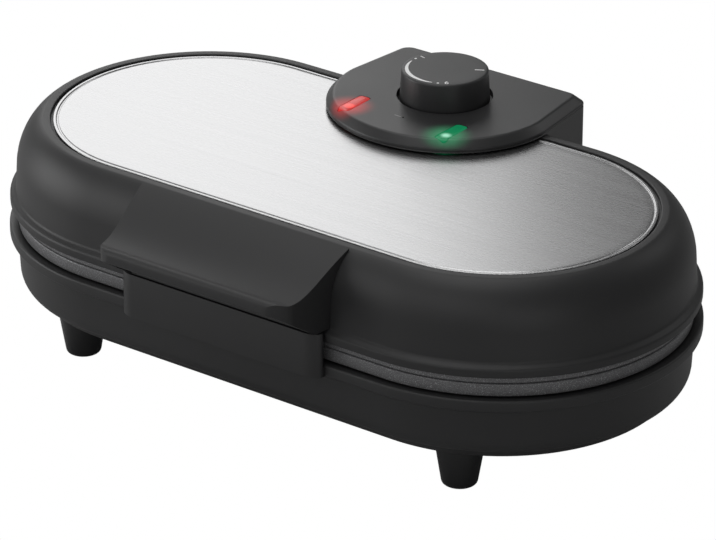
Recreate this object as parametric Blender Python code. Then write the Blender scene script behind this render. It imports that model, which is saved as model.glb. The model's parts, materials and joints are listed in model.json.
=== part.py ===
"""Two-pancake maker: a long, round-ended countertop cooker whose lid swings up on a rear hinge.

The front, with the handle, faces -Y and the hinge and control console are at +Y.
All sizes are in metres. The appliance stands on its feet at z = 0.
"""
import math

import bmesh
import bpy
from mathutils import Vector

# Clearances shared by all pieces
gap = 0.0003
hinge_clearance = 0.00035
cut_overrun = 0.002

# Outline of the housings: two half circles joined by a straight stretch
half_straight = 0.081
arc_steps = 14
round_steps = 28
screw_steps = 8

# Feet
foot_height = 0.0200
foot_top_radius = 0.0110
foot_bottom_radius = 0.0078
foot_rounding = 0.0028
foot_bore_radius = 0.0037
foot_web = 0.0060
foot_past_turn = 0.024
foot_inset = 0.0248
foot_boss_radius = 0.0050
foot_boss_height = 0.0100

# Base housing and bottom cover
base_height = 0.0325
base_wall_radius = 0.0858
base_wall_lean = 0.0007
base_wall = 0.0026
base_turn_in = 0.0044
base_turn_height = 0.0062
base_rim_reach = 0.0036
base_rim_height = 0.0052
base_rim_slope = 0.0014
base_rim_rounding = 0.0009
cover_height = 0.0045
cover_slope_in = 0.0034
cover_floor = 0.0025
cover_wall = 0.0022
cover_lip_height = 0.0050
vent_length = 0.030
vent_width = 0.0030
vent_spacing = 0.0085
vent_count = 5
vent_before_turn = 0.011

# Front tab that rises from the base in front of the lid lip
tab_half_width = 0.0545
tab_face_reach = 0.0055
tab_back_clearance = 0.0011
tab_drop = 0.0080
tab_rise = 0.0155
tab_corner = 0.0075

# Cooking plates
plate_over_base = 0.0002
plate_edge_rounding = 0.0007
lower_plate_edge = 0.0058
upper_plate_edge = 0.0037
mould_radius = 0.0600
mould_draft = 0.0025
mould_floor_rounding = 0.0016
lower_mould_depth = 0.0062
upper_mould_depth = 0.0052
pan_wall = 0.0032
plate_post_radius = 0.0045
plate_post_before_turn = 0.011
plate_post_inset = 0.0215
reflector_post_radius = 0.0040
reflector_post_out = 0.022

# Heating elements and heat reflectors
element_radius = 0.0032
element_path_radius = 0.045
element_lead_x = 0.012
element_lead_bend = 0.006
element_lead_length = 0.013
element_arc_steps = 9
reflector_radius = 0.056
reflector_sheet = 0.0008
reflector_flange = 0.0040

# Lid housing and steel panel
lid_height = 0.0393
lid_lip_reach = 0.0027
lid_lip_height = 0.0040
lid_lip_slope = 0.0016
lid_over_base = 0.0010
lid_wall_lean = 0.0008
lid_wall_height = 0.0188
lid_wall = 0.0025
shoulder_depth = 0.0157
shoulder_height = 0.0210
shoulder_steps = 5
lid_rim_set_in = 0.0125
lid_rim_rounding = 0.0008
lid_rim_width = 0.0041
panel_groove = 0.0012
panel_sheet = 0.0008
panel_sink = 0.0004
lid_roof = 0.0022
lid_boss_radius = 0.0060
lid_boss_depth = 0.0050

# Rear hinge
hinge_back = 0.0070
hinge_rise = 0.0013
knuckle_radius = 0.0046
knuckle_steps = 12
hinge_pin_radius = 0.0019
hinge_out_x = 0.039
lid_knuckle_length = 0.0100
base_ear_length = 0.0056
ear_foot_drop = 0.0048

# Handle on the front of the lid
handle_half_width = 0.0563
handle_overhang = 0.0275
handle_corner = 0.0160
handle_rim_gap = 0.0010
handle_rim_rise = 0.0004
handle_lip_drop = 0.0137
handle_scoop = 0.0024
handle_lip_width = 0.0065
handle_lip_thickness = 0.0058
handle_lip_rounding = 0.0022
handle_skin = 0.0030
handle_back_wall = 0.0085
handle_tab_clearance = 0.0008
handle_scoop_steps = 5
handle_corner_steps = 6

# Control console on the rear of the lid
knob_set_in = 0.0021
console_half_width = 0.0550
console_front_reach = 0.0520
console_overhang = 0.0225
console_corner = 0.0050
console_taper_in = 0.0035
console_rise = 0.0059
console_bevel_in = 0.0038
console_bevel_height = 0.0036
console_wall = 0.0025
console_roof = 0.0030
console_skirt_drop = 0.0320
console_arc_steps = 18
console_corner_steps = 4
well_inset = 0.0098
well_depth = 0.0240
console_post_radius = 0.0032
console_screw_turn = 35.0

# Knob, spindle and thermostat
knob_radius = 0.0198
knob_skirt_radius = 0.0206
knob_height = 0.0138
knob_skirt_height = 0.0042
knob_edge = 0.0008
knob_wall = 0.0020
knob_roof = 0.0030
knob_hub_radius = 0.0054
knob_recess_radius = 0.0219
knob_recess_depth = 0.0011
spindle_radius = 0.0030
bracket_length = 0.046
bracket_width = 0.018
bracket_sheet = 0.0012
bracket_post_out = 0.018
bracket_post_radius = 0.0034
bracket_post_length = 0.0060
thermostat_length = 0.028
thermostat_width = 0.024
thermostat_height = 0.014
box_rounding = 0.0012

# Indicator lamps
lens_out_x = 0.0270
lens_before_knob = 0.0417
lens_length = 0.0182
lens_width = 0.0060
lens_bend_share = 0.6
lens_depth = 0.0040
lens_end_steps = 4
lamp_radius = 0.0020
lamp_length = 0.0120
lamp_back = 0.0048

# Screws: head radius, head height, shank radius
screw_head_radius = 0.0034
screw_head_height = 0.0019
screw_shank_radius = 0.0015
screw_grip = 0.0052
handle_screw_inset = 0.0183
handle_screw_height_share = 0.55

# Thermal cut-outs, gland, terminal block and internal wires
cutout_radius = 0.0070
cutout_height = 0.0072
cutout_cap_radius = 0.0050
cutout_cap_height = 0.0020
gland_out_x = 0.064
gland_flange_radius = 0.0076
gland_flange = 0.0026
gland_sleeve_radius = 0.0058
gland_sleeve = 0.0080
gland_barrel_radius = 0.0050
gland_bore_radius = 0.0034
gland_nut_radius = 0.0064
gland_nut = 0.0030
terminal_length = 0.024
terminal_width = 0.010
terminal_height = 0.010
terminal_out_x = 0.032
terminal_inset = 0.0152
mains_lead_radius = 0.0026
lead_radius = 0.0012
lead_bow = 0.0080
lead_stub = 0.0035

# Heights, worked out from the floor upwards
cover_z = foot_height
base_joint_z = cover_z + cover_height
base_top_z = cover_z + base_height
lower_plate_z = base_top_z + gap
lower_plate_top_z = lower_plate_z + lower_plate_edge
upper_plate_z = lower_plate_top_z + gap
upper_plate_top_z = upper_plate_z + upper_plate_edge
lid_z = upper_plate_top_z + gap
lid_top_z = lid_z + lid_height
handle_lip_height = lid_top_z - handle_lip_drop
panel_top_z = lid_top_z - panel_sink
panel_z = panel_top_z - panel_sheet
panel_seat_z = panel_z - gap
lid_roof_z = panel_seat_z - lid_roof
shoulder_z = lid_z + lid_wall_height
console_top_z = lid_top_z + console_rise
console_roof_z = console_top_z - console_roof
console_low_z = lid_top_z - console_skirt_drop
knob_z = console_top_z - knob_recess_depth + gap
hinge_z = upper_plate_z + hinge_rise
tab_top_z = base_top_z + tab_rise

# Radii and places that follow from them
base_inner_radius = base_wall_radius - base_wall
foot_out_x = half_straight + foot_past_turn
foot_out_y = base_wall_radius - foot_inset
vent_out_x = half_straight - vent_before_turn
terminal_out_y = base_inner_radius - terminal_inset
plate_radius = base_wall_radius + plate_over_base
plate_post_out_x = half_straight - plate_post_before_turn
plate_post_out_y = plate_radius - plate_post_inset
lid_wall_radius = base_wall_radius + lid_over_base
lid_rim_radius = lid_wall_radius - lid_rim_set_in
base_edge_radius = base_wall_radius - base_turn_in
base_rim_radius = base_wall_radius + base_wall_lean + base_rim_reach
cover_lip_radius = base_edge_radius - base_wall - gap
lid_lip_radius = lid_wall_radius + lid_lip_reach
handle_reach = lid_lip_radius + handle_overhang
console_reach = lid_lip_radius + console_overhang
knob_centre_y = lid_rim_radius - knob_set_in
lens_front_y = knob_centre_y - lens_before_knob
handle_screw_out_x = handle_half_width - handle_screw_inset
shoulder_radius = lid_wall_radius - lid_wall_lean
shoulder_centre_radius = shoulder_radius - shoulder_depth
panel_recess_radius = lid_rim_radius - lid_rim_width
panel_radius = panel_recess_radius - panel_groove
hinge_y = max(lid_lip_radius, base_rim_radius) + hinge_back
body_shift_y = (handle_reach - console_reach) / 2
lower_pan_z = lower_plate_top_z - lower_mould_depth - pan_wall
upper_pan_z = upper_plate_z + upper_mould_depth + pan_wall
lower_element_z = lower_pan_z - gap - element_radius
upper_element_z = upper_pan_z + gap + element_radius
lower_reflector_z = lower_element_z - element_radius - gap
upper_reflector_z = upper_element_z + element_radius + gap
bracket_top_z = console_roof_z - bracket_post_length - gap
thermostat_top_z = bracket_top_z - bracket_sheet - gap
pin_bore_radius = hinge_pin_radius + hinge_clearance
screw_bore_radius = screw_shank_radius + gap


def clear_scene():
    for obj in list(bpy.data.objects):
        bpy.data.objects.remove(obj, do_unlink=True)


def plastic(name, color, roughness, metallic=0.0):
    """A Principled material with one colour."""
    mat = bpy.data.materials.new(name)
    mat.use_nodes = True
    shader = mat.node_tree.nodes["Principled BSDF"]
    shader.inputs["Base Color"].default_value = (*color, 1.0)
    shader.inputs["Roughness"].default_value = roughness
    shader.inputs["Metallic"].default_value = metallic
    return mat


def frame_at(name, position, parent=None, parent_position=(0.0, 0.0, 0.0)):
    """An empty at an appliance position, to carry a group of pieces."""
    empty = bpy.data.objects.new(name, None)
    bpy.context.scene.collection.objects.link(empty)
    empty.parent = parent
    empty.location = Vector(position) - Vector(parent_position)
    return empty


class Frame:
    """A carrier empty together with its place in the appliance."""

    def __init__(self, name, position, parent=None):
        self.position = Vector(position)
        if parent is None:
            self.empty = frame_at(name, (0.0, body_shift_y, 0.0))
        else:
            self.empty = frame_at(name, position, parent.empty, parent.position)


def add_piece(name, mesh, mat, frame, position=(0.0, 0.0, 0.0), turn=(0.0, 0.0, 0.0)):
    """Put a mesh or curve in the scene at an appliance position, under its carrier."""
    obj = bpy.data.objects.new(name, mesh)
    bpy.context.scene.collection.objects.link(obj)
    obj.parent = frame.empty
    obj.location = Vector(position) - frame.position
    obj.rotation_euler = turn
    if mat is not None:
        mesh.materials.append(mat)
    return obj


def add_tool(name, mesh, frame, position=(0.0, 0.0, 0.0), turn=(0.0, 0.0, 0.0)):
    """A helper body for Booleans, which isn't a piece itself."""
    obj = add_piece(name, mesh, None, frame, position, turn)
    obj.hide_render = True
    obj.display_type = "WIRE"
    return obj


def combine(obj, tool, operation):
    step = obj.modifiers.new(operation.title() + " " + tool.name, "BOOLEAN")
    step.object = tool
    step.operation = operation
    step.solver = "EXACT"


def finish_mesh(bm, name, smooth=True):
    bmesh.ops.recalc_face_normals(bm, faces=bm.faces)
    mesh = bpy.data.meshes.new(name)
    bm.to_mesh(mesh)
    bm.free()
    if smooth:
        mesh.shade_smooth()
        mesh.set_sharp_from_angle(angle=math.radians(32.0))
    return mesh


def bridge_loops(bm, loops, closed=False):
    """Walls between loops of equal length, with flat caps at both ends unless they close."""
    count = len(loops[0])
    pairs = list(zip(loops, loops[1:]))
    if closed:
        pairs.append((loops[-1], loops[0]))
    for low, high in pairs:
        for i in range(count):
            j = (i + 1) % count
            bm.faces.new((low[i], low[j], high[j], high[i]))
    if not closed:
        bm.faces.new(list(reversed(loops[0])))
        bm.faces.new(loops[-1])


def stadium_outline(radius, straight=None, steps=arc_steps):
    """Plan of a round-ended bar, counter-clockwise."""
    half = half_straight if straight is None else straight
    points = []
    for side in (1, -1):
        for i in range(steps + 1):
            angle = -math.pi / 2 + math.pi * i / steps
            points.append((side * (half + radius * math.cos(angle)), side * radius * math.sin(angle)))
    return points


def circle_outline(radius, steps=round_steps, centre=(0.0, 0.0)):
    turn = 2 * math.pi / steps
    return [(centre[0] + radius * math.cos(turn * i), centre[1] + radius * math.sin(turn * i))
            for i in range(steps)]


def add_loops(bm, outlines, closed=False):
    """Stack (outline, height) pairs into one body."""
    loops = [[bm.verts.new((x, y, z)) for x, y in outline] for outline, z in outlines]
    bridge_loops(bm, loops, closed)


def stadium_body(name, profile, closed=False):
    """A (radius, height) profile taken round the housing outline."""
    bm = bmesh.new()
    add_loops(bm, [(stadium_outline(radius), z) for radius, z in profile], closed)
    return finish_mesh(bm, name)


def turned_body(name, profile, steps=round_steps, closed=False):
    """A (radius, height) profile turned about Z."""
    bm = bmesh.new()
    add_loops(bm, [(circle_outline(radius, steps), z) for radius, z in profile], closed)
    return finish_mesh(bm, name)


def turned_group(name, places, profile, steps=round_steps):
    """The same turned body at several places, in one mesh."""
    bm = bmesh.new()
    for place in places:
        add_loops(bm, [(circle_outline(radius, steps, place), z) for radius, z in profile])
    return finish_mesh(bm, name)


def prism_body(name, outline, low, high):
    bm = bmesh.new()
    add_loops(bm, [(outline, low), (outline, high)])
    return finish_mesh(bm, name)


def bar_body(name, profile, x_low, x_high):
    """A (y, z) profile drawn out along X."""
    bm = bmesh.new()
    loops = [[bm.verts.new((x, y, z)) for y, z in profile] for x in (x_low, x_high)]
    bridge_loops(bm, loops)
    return finish_mesh(bm, name)


def box_body(name, size, rounding=0.0):
    """A box centred on its origin in plan that stands on z = 0."""
    x, y, z = size[0] / 2, size[1] / 2, size[2]
    outline = [(-x, -y), (x, -y), (x, y), (-x, y)]
    bm = bmesh.new()
    add_loops(bm, [(outline, 0.0), (outline, z)])
    if rounding > 0:
        bmesh.ops.bevel(bm, geom=list(bm.edges), offset=rounding, segments=1, affect="EDGES")
    return finish_mesh(bm, name)


def arc_points(centre, reach, first, last, steps):
    """Points on an ellipse between two angles, in degrees."""
    points = []
    for i in range(steps + 1):
        angle = math.radians(first + (last - first) * i / steps)
        points.append((centre[0] + reach[0] * math.cos(angle), centre[1] + reach[1] * math.sin(angle)))
    return points


def smooth_path(points, steps):
    """Points on a smooth curve through the given ones."""
    path = []
    count = len(points)
    for i in range(count - 1):
        a, b = points[max(i - 1, 0)], points[i]
        c, d = points[i + 1], points[min(i + 2, count - 1)]
        for k in range(steps):
            t = k / steps
            path.append(tuple(
                0.5 * (2 * q + (r - p) * t + (2 * p - 5 * q + 4 * r - s) * t ** 2
                       + (3 * q - p - 3 * r + s) * t ** 3)
                for p, q, r, s in zip(a, b, c, d)))
    path.append(tuple(points[-1]))
    return path


def lead_path(start, out, middle, back, end):
    """A lead that leaves one piece and meets another square on, smooth in between."""
    first = [p + q * lead_stub for p, q in zip(start, out)]
    last = [p + q * lead_stub for p, q in zip(end, back)]
    return [tuple(start)] + smooth_path([first, *middle, last], 3) + [tuple(end)]


def tube_curve(name, path, radius, resolution=2):
    curve = bpy.data.curves.new(name, "CURVE")
    curve.dimensions = "3D"
    curve.bevel_depth = radius
    curve.bevel_resolution = resolution
    curve.use_fill_caps = True
    spline = curve.splines.new("POLY")
    spline.points.add(len(path) - 1)
    for point, place in zip(spline.points, path):
        point.co = (*place, 1.0)
    return curve


def screw_body(name, length):
    """A pan-head screw along Z: the shank runs up from the head, which hangs below z = 0."""
    crown = screw_head_height / 2
    profile = [
        (screw_head_radius - crown, -screw_head_height),
        (screw_head_radius, -crown),
        (screw_head_radius, 0.0),
        (screw_shank_radius, 0.0),
        (screw_shank_radius, length - screw_shank_radius / 2),
        (screw_shank_radius / 2, length),
    ]
    return turned_body(name, profile, screw_steps)


def bore_tool(name, places, radius, low, high, frame):
    mesh = turned_group(name, places, [(radius, low), (radius, high)], round_steps // 2)
    return add_tool(name, mesh, frame)


def base_housing(base, mat):
    """Ring wall of the base with its rim band, front tab and hinge ears."""
    crease_z = base_top_z - base_rim_height
    lean_radius = base_wall_radius + base_wall_lean
    turn_z = base_joint_z + base_turn_height
    corner = arc_points((base_edge_radius, turn_z), (base_turn_in, base_turn_height), -90.0, 0.0, 4)
    profile = corner + [
        (lean_radius, crease_z - base_rim_slope),
        (base_rim_radius, crease_z),
        (base_rim_radius, base_top_z - base_rim_rounding),
        (base_rim_radius - base_rim_rounding, base_top_z),
        (base_inner_radius, base_top_z),
        (base_inner_radius, turn_z),
        (base_edge_radius - base_wall, base_joint_z),
    ]
    housing = add_piece("base_housing", stadium_body("base_housing", profile, closed=True), mat, base)
    combine(housing, front_tab(base), "UNION")
    combine(housing, hinge_group("base_ears", base, ear_places(), base_ear_length, base_ear_profile()), "UNION")
    combine(housing, hinge_bore("base_ear_bore", base), "DIFFERENCE")
    hole = turned_body("gland_hole", [(gland_barrel_radius + gap, -gland_nut_radius),
                                      (gland_barrel_radius + gap, gland_nut_radius)], round_steps // 2)
    gland_place = (gland_out_x, base_wall_radius, gland_z())
    turn = (math.radians(90.0), 0.0, 0.0)
    combine(housing, add_tool("gland_hole", hole, base, gland_place, turn), "DIFFERENCE")
    return housing


def front_tab(base):
    """Upright pad in front of the lid lip, rounded at its ends, that the handle rests above."""
    back = -(max(lid_lip_radius, base_rim_radius) + tab_back_clearance)
    face = -(base_rim_radius + tab_face_reach)
    wall = -(base_wall_radius - base_wall / 2)
    foot_z = base_top_z - tab_drop
    right = arc_points((tab_half_width - tab_corner, back), (tab_corner, back - face), 0.0, -90.0, 4)
    plan = [(-x, y) for x, y in right] + right[::-1]
    bm = bmesh.new()
    add_loops(bm, [(plan, foot_z), (plan, tab_top_z)])
    tab = add_tool("front_tab", finish_mesh(bm, "front_tab"), base)
    link = prism_body("front_tab_root", [
        (-tab_half_width, back - tab_corner / 2), (tab_half_width, back - tab_corner / 2),
        (tab_half_width, wall), (-tab_half_width, wall),
    ], foot_z, base_top_z - base_rim_rounding)
    root = add_tool("front_tab_root", link, base)
    combine(tab, root, "UNION")
    return tab


def ear_places():
    side = lid_knuckle_length / 2 + gap + base_ear_length / 2
    return [sign * hinge_out_x + step * side for sign in (-1, 1) for step in (-1, 1)]


def knuckle_places():
    return [sign * hinge_out_x for sign in (-1, 1)]


def base_ear_profile():
    """Ear round the hinge axis with a root on the base rim, as a (y, z) outline."""
    root_y = base_rim_radius - base_wall
    low_z = base_top_z - ear_foot_drop
    rounded = arc_points((hinge_y, hinge_z), (knuckle_radius, knuckle_radius), -45.0, 135.0, knuckle_steps // 2)
    return [(root_y, low_z), (hinge_y - knuckle_radius, low_z)] + rounded + [
        (hinge_y - knuckle_radius, hinge_z), (lid_lip_radius - gap, base_top_z + gap * 2), (root_y, base_top_z)]


def lid_knuckle_profile():
    """Knuckle round the hinge axis with an arm to the lid lip, as a (y, z) outline."""
    top_z = lid_z + lid_lip_height
    root_y = lid_wall_radius - lid_wall / 2
    rounded = arc_points((hinge_y, hinge_z), (knuckle_radius, knuckle_radius), -150.0, 30.0, knuckle_steps // 2)
    return rounded + [(hinge_y, top_z), (root_y, top_z), (root_y, lid_z), (hinge_y - knuckle_radius, lid_z)]


def hinge_group(name, frame, places, length, profile):
    bm = bmesh.new()
    for place in places:
        loops = [[bm.verts.new((place + side * length / 2, y, z)) for y, z in profile] for side in (-1, 1)]
        bridge_loops(bm, loops)
    return add_tool(name, finish_mesh(bm, name), frame)


def hinge_bore(name, frame):
    """Bores of both hinges, in one cutter."""
    reach = lid_knuckle_length / 2 + gap + base_ear_length + cut_overrun
    bm = bmesh.new()
    for sign in (-1, 1):
        ring = circle_outline(pin_bore_radius, knuckle_steps, (hinge_y, hinge_z))
        loops = [[bm.verts.new((sign * hinge_out_x + side * reach, y, z)) for y, z in ring] for side in (-1, 1)]
        bridge_loops(bm, loops)
    return add_tool(name, finish_mesh(bm, name), frame)


def gland_z():
    """The nut sits just above the turn of the wall."""
    return base_joint_z + base_turn_height + gland_nut_radius + gap


def four_corners(x, y):
    return {"front_left": (-x, -y), "front_right": (x, -y), "rear_left": (-x, y), "rear_right": (x, y)}


def foot_places():
    return four_corners(foot_out_x, foot_out_y)


def plate_posts():
    """Places of the posts that hold both cooking plates."""
    return four_corners(plate_post_out_x, plate_post_out_y)


def bottom_cover(base, mat):
    """Floor of the base: a shallow tray with a sloping edge, foot bosses and vents."""
    floor_top = cover_z + cover_floor
    profile = [
        (base_edge_radius - cover_slope_in, cover_z),
        (base_edge_radius - gap, base_joint_z - gap),
        (cover_lip_radius, base_joint_z - gap),
        (cover_lip_radius, base_joint_z + cover_lip_height),
        (cover_lip_radius - cover_wall, base_joint_z + cover_lip_height),
        (cover_lip_radius - cover_wall, floor_top),
    ]
    cover = add_piece("base_bottom_cover", stadium_body("base_bottom_cover", profile), mat, base)
    places = list(foot_places().values())
    boss = turned_group("foot_bosses", places, [
        (foot_boss_radius, cover_z + cover_floor / 2),
        (foot_boss_radius, floor_top + foot_boss_height)], round_steps // 2)
    combine(cover, add_tool("foot_bosses", boss, base), "UNION")
    bore_top = floor_top + foot_boss_height - cover_floor / 2
    holes = bore_tool("foot_screw_bores", places, screw_bore_radius, cover_z - cut_overrun, bore_top, base)
    combine(cover, holes, "DIFFERENCE")
    holes = bore_tool("cover_screw_holes", plate_posts().values(), screw_bore_radius, cover_z - cut_overrun,
                      floor_top + cut_overrun, base)
    combine(cover, holes, "DIFFERENCE")
    combine(cover, vent_tool(base, floor_top), "DIFFERENCE")
    return cover


def vent_tool(base, floor_top):
    bm = bmesh.new()
    for side in (-1, 1):
        for row in range(vent_count):
            y = (row - (vent_count - 1) / 2) * vent_spacing
            x = side * vent_out_x
            outline = [(x - vent_length / 2, y - vent_width / 2), (x + vent_length / 2, y - vent_width / 2),
                       (x + vent_length / 2, y + vent_width / 2), (x - vent_length / 2, y + vent_width / 2)]
            add_loops(bm, [(outline, cover_z - cut_overrun), (outline, floor_top + cut_overrun)])
    return add_tool("bottom_vents", finish_mesh(bm, "bottom_vents"), base)


def feet(base, foot_mat, screw_mat):
    """Four tapering feet, each with its screw up into the bottom cover."""
    top = foot_height - gap
    web_z = top - foot_web
    bore = screw_bore_radius
    rounded = arc_points((foot_bottom_radius - foot_rounding, foot_rounding),
                         (foot_rounding, foot_rounding), -90.0, 0.0, 3)
    profile = rounded + [
        (foot_top_radius, top), (bore, top), (bore, web_z),
        (foot_bore_radius, web_z), (foot_bore_radius, 0.0),
    ]
    length = foot_web + gap + cover_floor + foot_boss_height / 2
    for place, (x, y) in foot_places().items():
        mesh = turned_body("foot_" + place, profile, round_steps * 2 // 3, closed=True)
        add_piece("foot_" + place, mesh, foot_mat, base, (x, y, 0.0))
        mesh = screw_body("foot_screw_" + place, length)
        add_piece("foot_screw_" + place, mesh, screw_mat, base, (x, y, web_z - gap))


def mould_profile(depth, radius_extra=0.0, height=0.0):
    """Draft and rounding of a mould, from its mouth at z = 0 down."""
    floor_radius = mould_radius - mould_draft + radius_extra
    return [
        (floor_radius - mould_floor_rounding, -depth),
        (floor_radius, -depth + mould_floor_rounding),
        (mould_radius + radius_extra, 0.0),
        (mould_radius + radius_extra, height),
    ]


def cooking_plate(name, frame, mat, face_z, up, edge, depth, post_end_z, reflector_z):
    """A cast plate with two round moulds in its face, pans behind them and screw posts."""
    back_z = face_z - up * edge
    rounding = plate_edge_rounding
    profile = [
        (plate_radius - rounding, back_z), (plate_radius, back_z + up * rounding),
        (plate_radius, face_z - up * rounding), (plate_radius - rounding, face_z),
    ]
    plate = add_piece(name, stadium_body(name, profile), mat, frame)
    centres = [(-half_straight, 0.0), (half_straight, 0.0)]
    sink = face_z - up * edge / 2
    pan = [(radius, face_z + up * z) for radius, z in mould_profile(depth + pan_wall, pan_wall)[:2]]
    pan.append((mould_radius + pan_wall, sink))
    bm = bmesh.new()
    for centre in centres:
        add_loops(bm, [(circle_outline(radius, round_steps, centre), z) for radius, z in pan])
    combine(plate, add_tool(name + "_pans", finish_mesh(bm, name + "_pans"), frame), "UNION")
    bm = bmesh.new()
    posts = list(plate_posts().values())
    for post in posts:
        ring = circle_outline(plate_post_radius, screw_steps + 2, post)
        add_loops(bm, [(ring, sink), (ring, post_end_z)])
    stubs = [(0.0, side * reflector_post_out) for side in (-1, 1)]
    stub_end = reflector_z + up * gap
    for stub in stubs:
        ring = circle_outline(reflector_post_radius, screw_steps + 2, stub)
        add_loops(bm, [(ring, sink), (ring, stub_end)])
    combine(plate, add_tool(name + "_posts", finish_mesh(bm, name + "_posts"), frame), "UNION")
    bm = bmesh.new()
    mould = [(radius, face_z + up * z) for radius, z in mould_profile(depth, 0.0, cut_overrun)]
    for centre in centres:
        add_loops(bm, [(circle_outline(radius, round_steps, centre), z) for radius, z in mould])
    for place, end in [(post, post_end_z) for post in posts] + [(stub, stub_end) for stub in stubs]:
        ring = circle_outline(screw_bore_radius, screw_steps, place)
        add_loops(bm, [(ring, end - up * cut_overrun), (ring, end + up * (screw_grip + gap))])
    combine(plate, add_tool(name + "_cuts", finish_mesh(bm, name + "_cuts"), frame), "DIFFERENCE")
    return plate


def element_path(z):
    """Loop under both pans, open at the rear, whose two ends turn back as leads."""
    r, bend, lead = element_path_radius, element_lead_bend, element_lead_x
    right = [(lead, r + element_lead_length), (lead, r + bend)]
    right += arc_points((lead + bend, r + bend), (bend, bend), 180.0, 270.0, 3)[1:]
    right += arc_points((half_straight, 0.0), (r, r), 90.0, -90.0, element_arc_steps)
    left = [(-x, y) for x, y in reversed(right)]
    return [(x, y, z) for x, y in right + left]


def heating_element(name, frame, mat, z):
    return add_piece(name, tube_curve(name, element_path(z), element_radius, 2), mat, frame)


def heat_reflector(name, frame, mat, face_z, up):
    """Thin tray behind the element, with its flange turned away from the plate."""
    back_z = face_z - up * reflector_sheet
    edge_z = face_z - up * reflector_flange
    inner = reflector_radius - reflector_sheet
    profile = [
        (inner, face_z), (reflector_radius, back_z), (reflector_radius, edge_z),
        (inner, edge_z), (inner, back_z),
    ]
    tray = add_piece(name, stadium_body(name, profile), mat, frame)
    stubs = [(0.0, side * reflector_post_out) for side in (-1, 1)]
    low, high = sorted((back_z - up * cut_overrun, face_z + up * cut_overrun))
    combine(tray, bore_tool(name + "_holes", stubs, screw_bore_radius, low, high, frame), "DIFFERENCE")
    return tray


def thermal_cutout(name, frame, mat, seat_z, up):
    """Round safety cut-out against the back of a plate."""
    profile = [
        (cutout_cap_radius, 0.0), (cutout_cap_radius, cutout_cap_height),
        (cutout_radius, cutout_cap_height), (cutout_radius, cutout_height),
    ]
    turn = (0.0, 0.0, 0.0) if up < 0 else (math.pi, 0.0, 0.0)
    mesh = turned_body(name, profile, round_steps // 2)
    return add_piece(name, mesh, mat, frame, (0.0, 0.0, seat_z - up * gap), turn)


def set_of_screws(prefix, frame, mat, places, z, up, length):
    """Screws along Z whose shanks run up, or down when up is -1, from z."""
    turn = (0.0, 0.0, 0.0) if up > 0 else (math.pi, 0.0, 0.0)
    for place, (x, y) in places.items():
        add_piece(prefix + place, screw_body(prefix + place, length), mat, frame, (x, y, z), turn)


def lid_outer_profile(extra=0.0):
    """Outside of the lid from its lip up to the rim, grown by a clearance."""
    lip = lid_lip_radius + extra
    end = math.degrees(math.acos((lid_rim_radius - shoulder_centre_radius) / shoulder_depth))
    shoulder = arc_points((shoulder_centre_radius, shoulder_z),
                          (shoulder_depth + extra, shoulder_height + extra), 0.0, end, shoulder_steps)
    return [
        (lip, lid_z - extra), (lip, lid_z + lid_lip_height),
        (lid_wall_radius + extra, lid_z + lid_lip_height + lid_lip_slope),
    ] + shoulder


def lid_housing(lid, mat):
    """Shell of the lid: lip, wall, curved shoulder, rim band and a roof that seats the panel."""
    wall_end = math.degrees(math.asin((lid_roof_z - shoulder_z) / (shoulder_height - lid_wall)))
    inside = arc_points((shoulder_centre_radius, shoulder_z),
                        (shoulder_depth - lid_wall, shoulder_height - lid_wall), wall_end, 0.0, shoulder_steps - 2)
    rim = [
        (lid_rim_radius - lid_rim_rounding, lid_top_z),
        (panel_recess_radius + lid_rim_rounding / 2, lid_top_z),
        (panel_recess_radius, lid_top_z - lid_rim_rounding / 2),
        (panel_recess_radius, panel_seat_z),
    ]
    profile = inside + [(lid_wall_radius - lid_wall, lid_z)] + lid_outer_profile() + rim
    housing = add_piece("lid_housing", stadium_body("lid_housing", profile), mat, lid)
    posts = list(plate_posts().values())
    boss = turned_group("lid_bosses", posts, [
        (lid_boss_radius, lid_roof_z - lid_boss_depth), (lid_boss_radius, lid_roof_z + lid_roof / 2),
    ], round_steps // 2)
    combine(housing, add_tool("lid_bosses", boss, lid), "UNION")
    knuckles = hinge_group("lid_knuckles", lid, knuckle_places(), lid_knuckle_length, lid_knuckle_profile())
    combine(housing, knuckles, "UNION")
    combine(housing, hinge_bore("lid_knuckle_bore", lid), "DIFFERENCE")
    combine(housing, lid_cuts(lid, posts), "DIFFERENCE")
    return housing


def lid_cuts(lid, posts):
    """Screw holes of the lid shell and the well under the console, in one cutter."""
    bm = bmesh.new()
    head = screw_head_radius + gap
    seat = counterbore_z()
    for post in posts:
        add_loops(bm, [
            (circle_outline(screw_bore_radius, screw_steps, post), lid_roof_z - lid_boss_depth - cut_overrun),
            (circle_outline(screw_bore_radius, screw_steps, post), seat),
            (circle_outline(head, screw_steps, post), seat),
            (circle_outline(head, screw_steps, post), panel_seat_z + panel_sheet),
        ])
    for place in console_screw_places():
        ring = circle_outline(screw_bore_radius, screw_steps, place)
        add_loops(bm, [(ring, lid_roof_z - cut_overrun), (ring, panel_seat_z + cut_overrun)])
    outline = well_outline()
    add_loops(bm, [(outline, lid_top_z - well_depth), (outline, lid_top_z + cut_overrun)])
    for side in (-1, 1):
        ring = circle_outline(screw_bore_radius, screw_steps, (side * handle_screw_out_x, handle_screw_z()))
        loops = [[bm.verts.new((x, y, z)) for x, z in ring]
                 for y in (-lid_wall_radius - lid_lip_reach, -lid_wall_radius + lid_wall + cut_overrun)]
        bridge_loops(bm, loops)
    return add_tool("lid_cuts", finish_mesh(bm, "lid_cuts"), lid)


def counterbore_z():
    """Height of the seat for the screw heads that hold the upper plate."""
    return lid_roof_z - lid_boss_depth / 2


def handle_screw_z():
    low = lid_z + lid_lip_height + lid_lip_slope
    return low + (shoulder_z - low) * handle_screw_height_share


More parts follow.
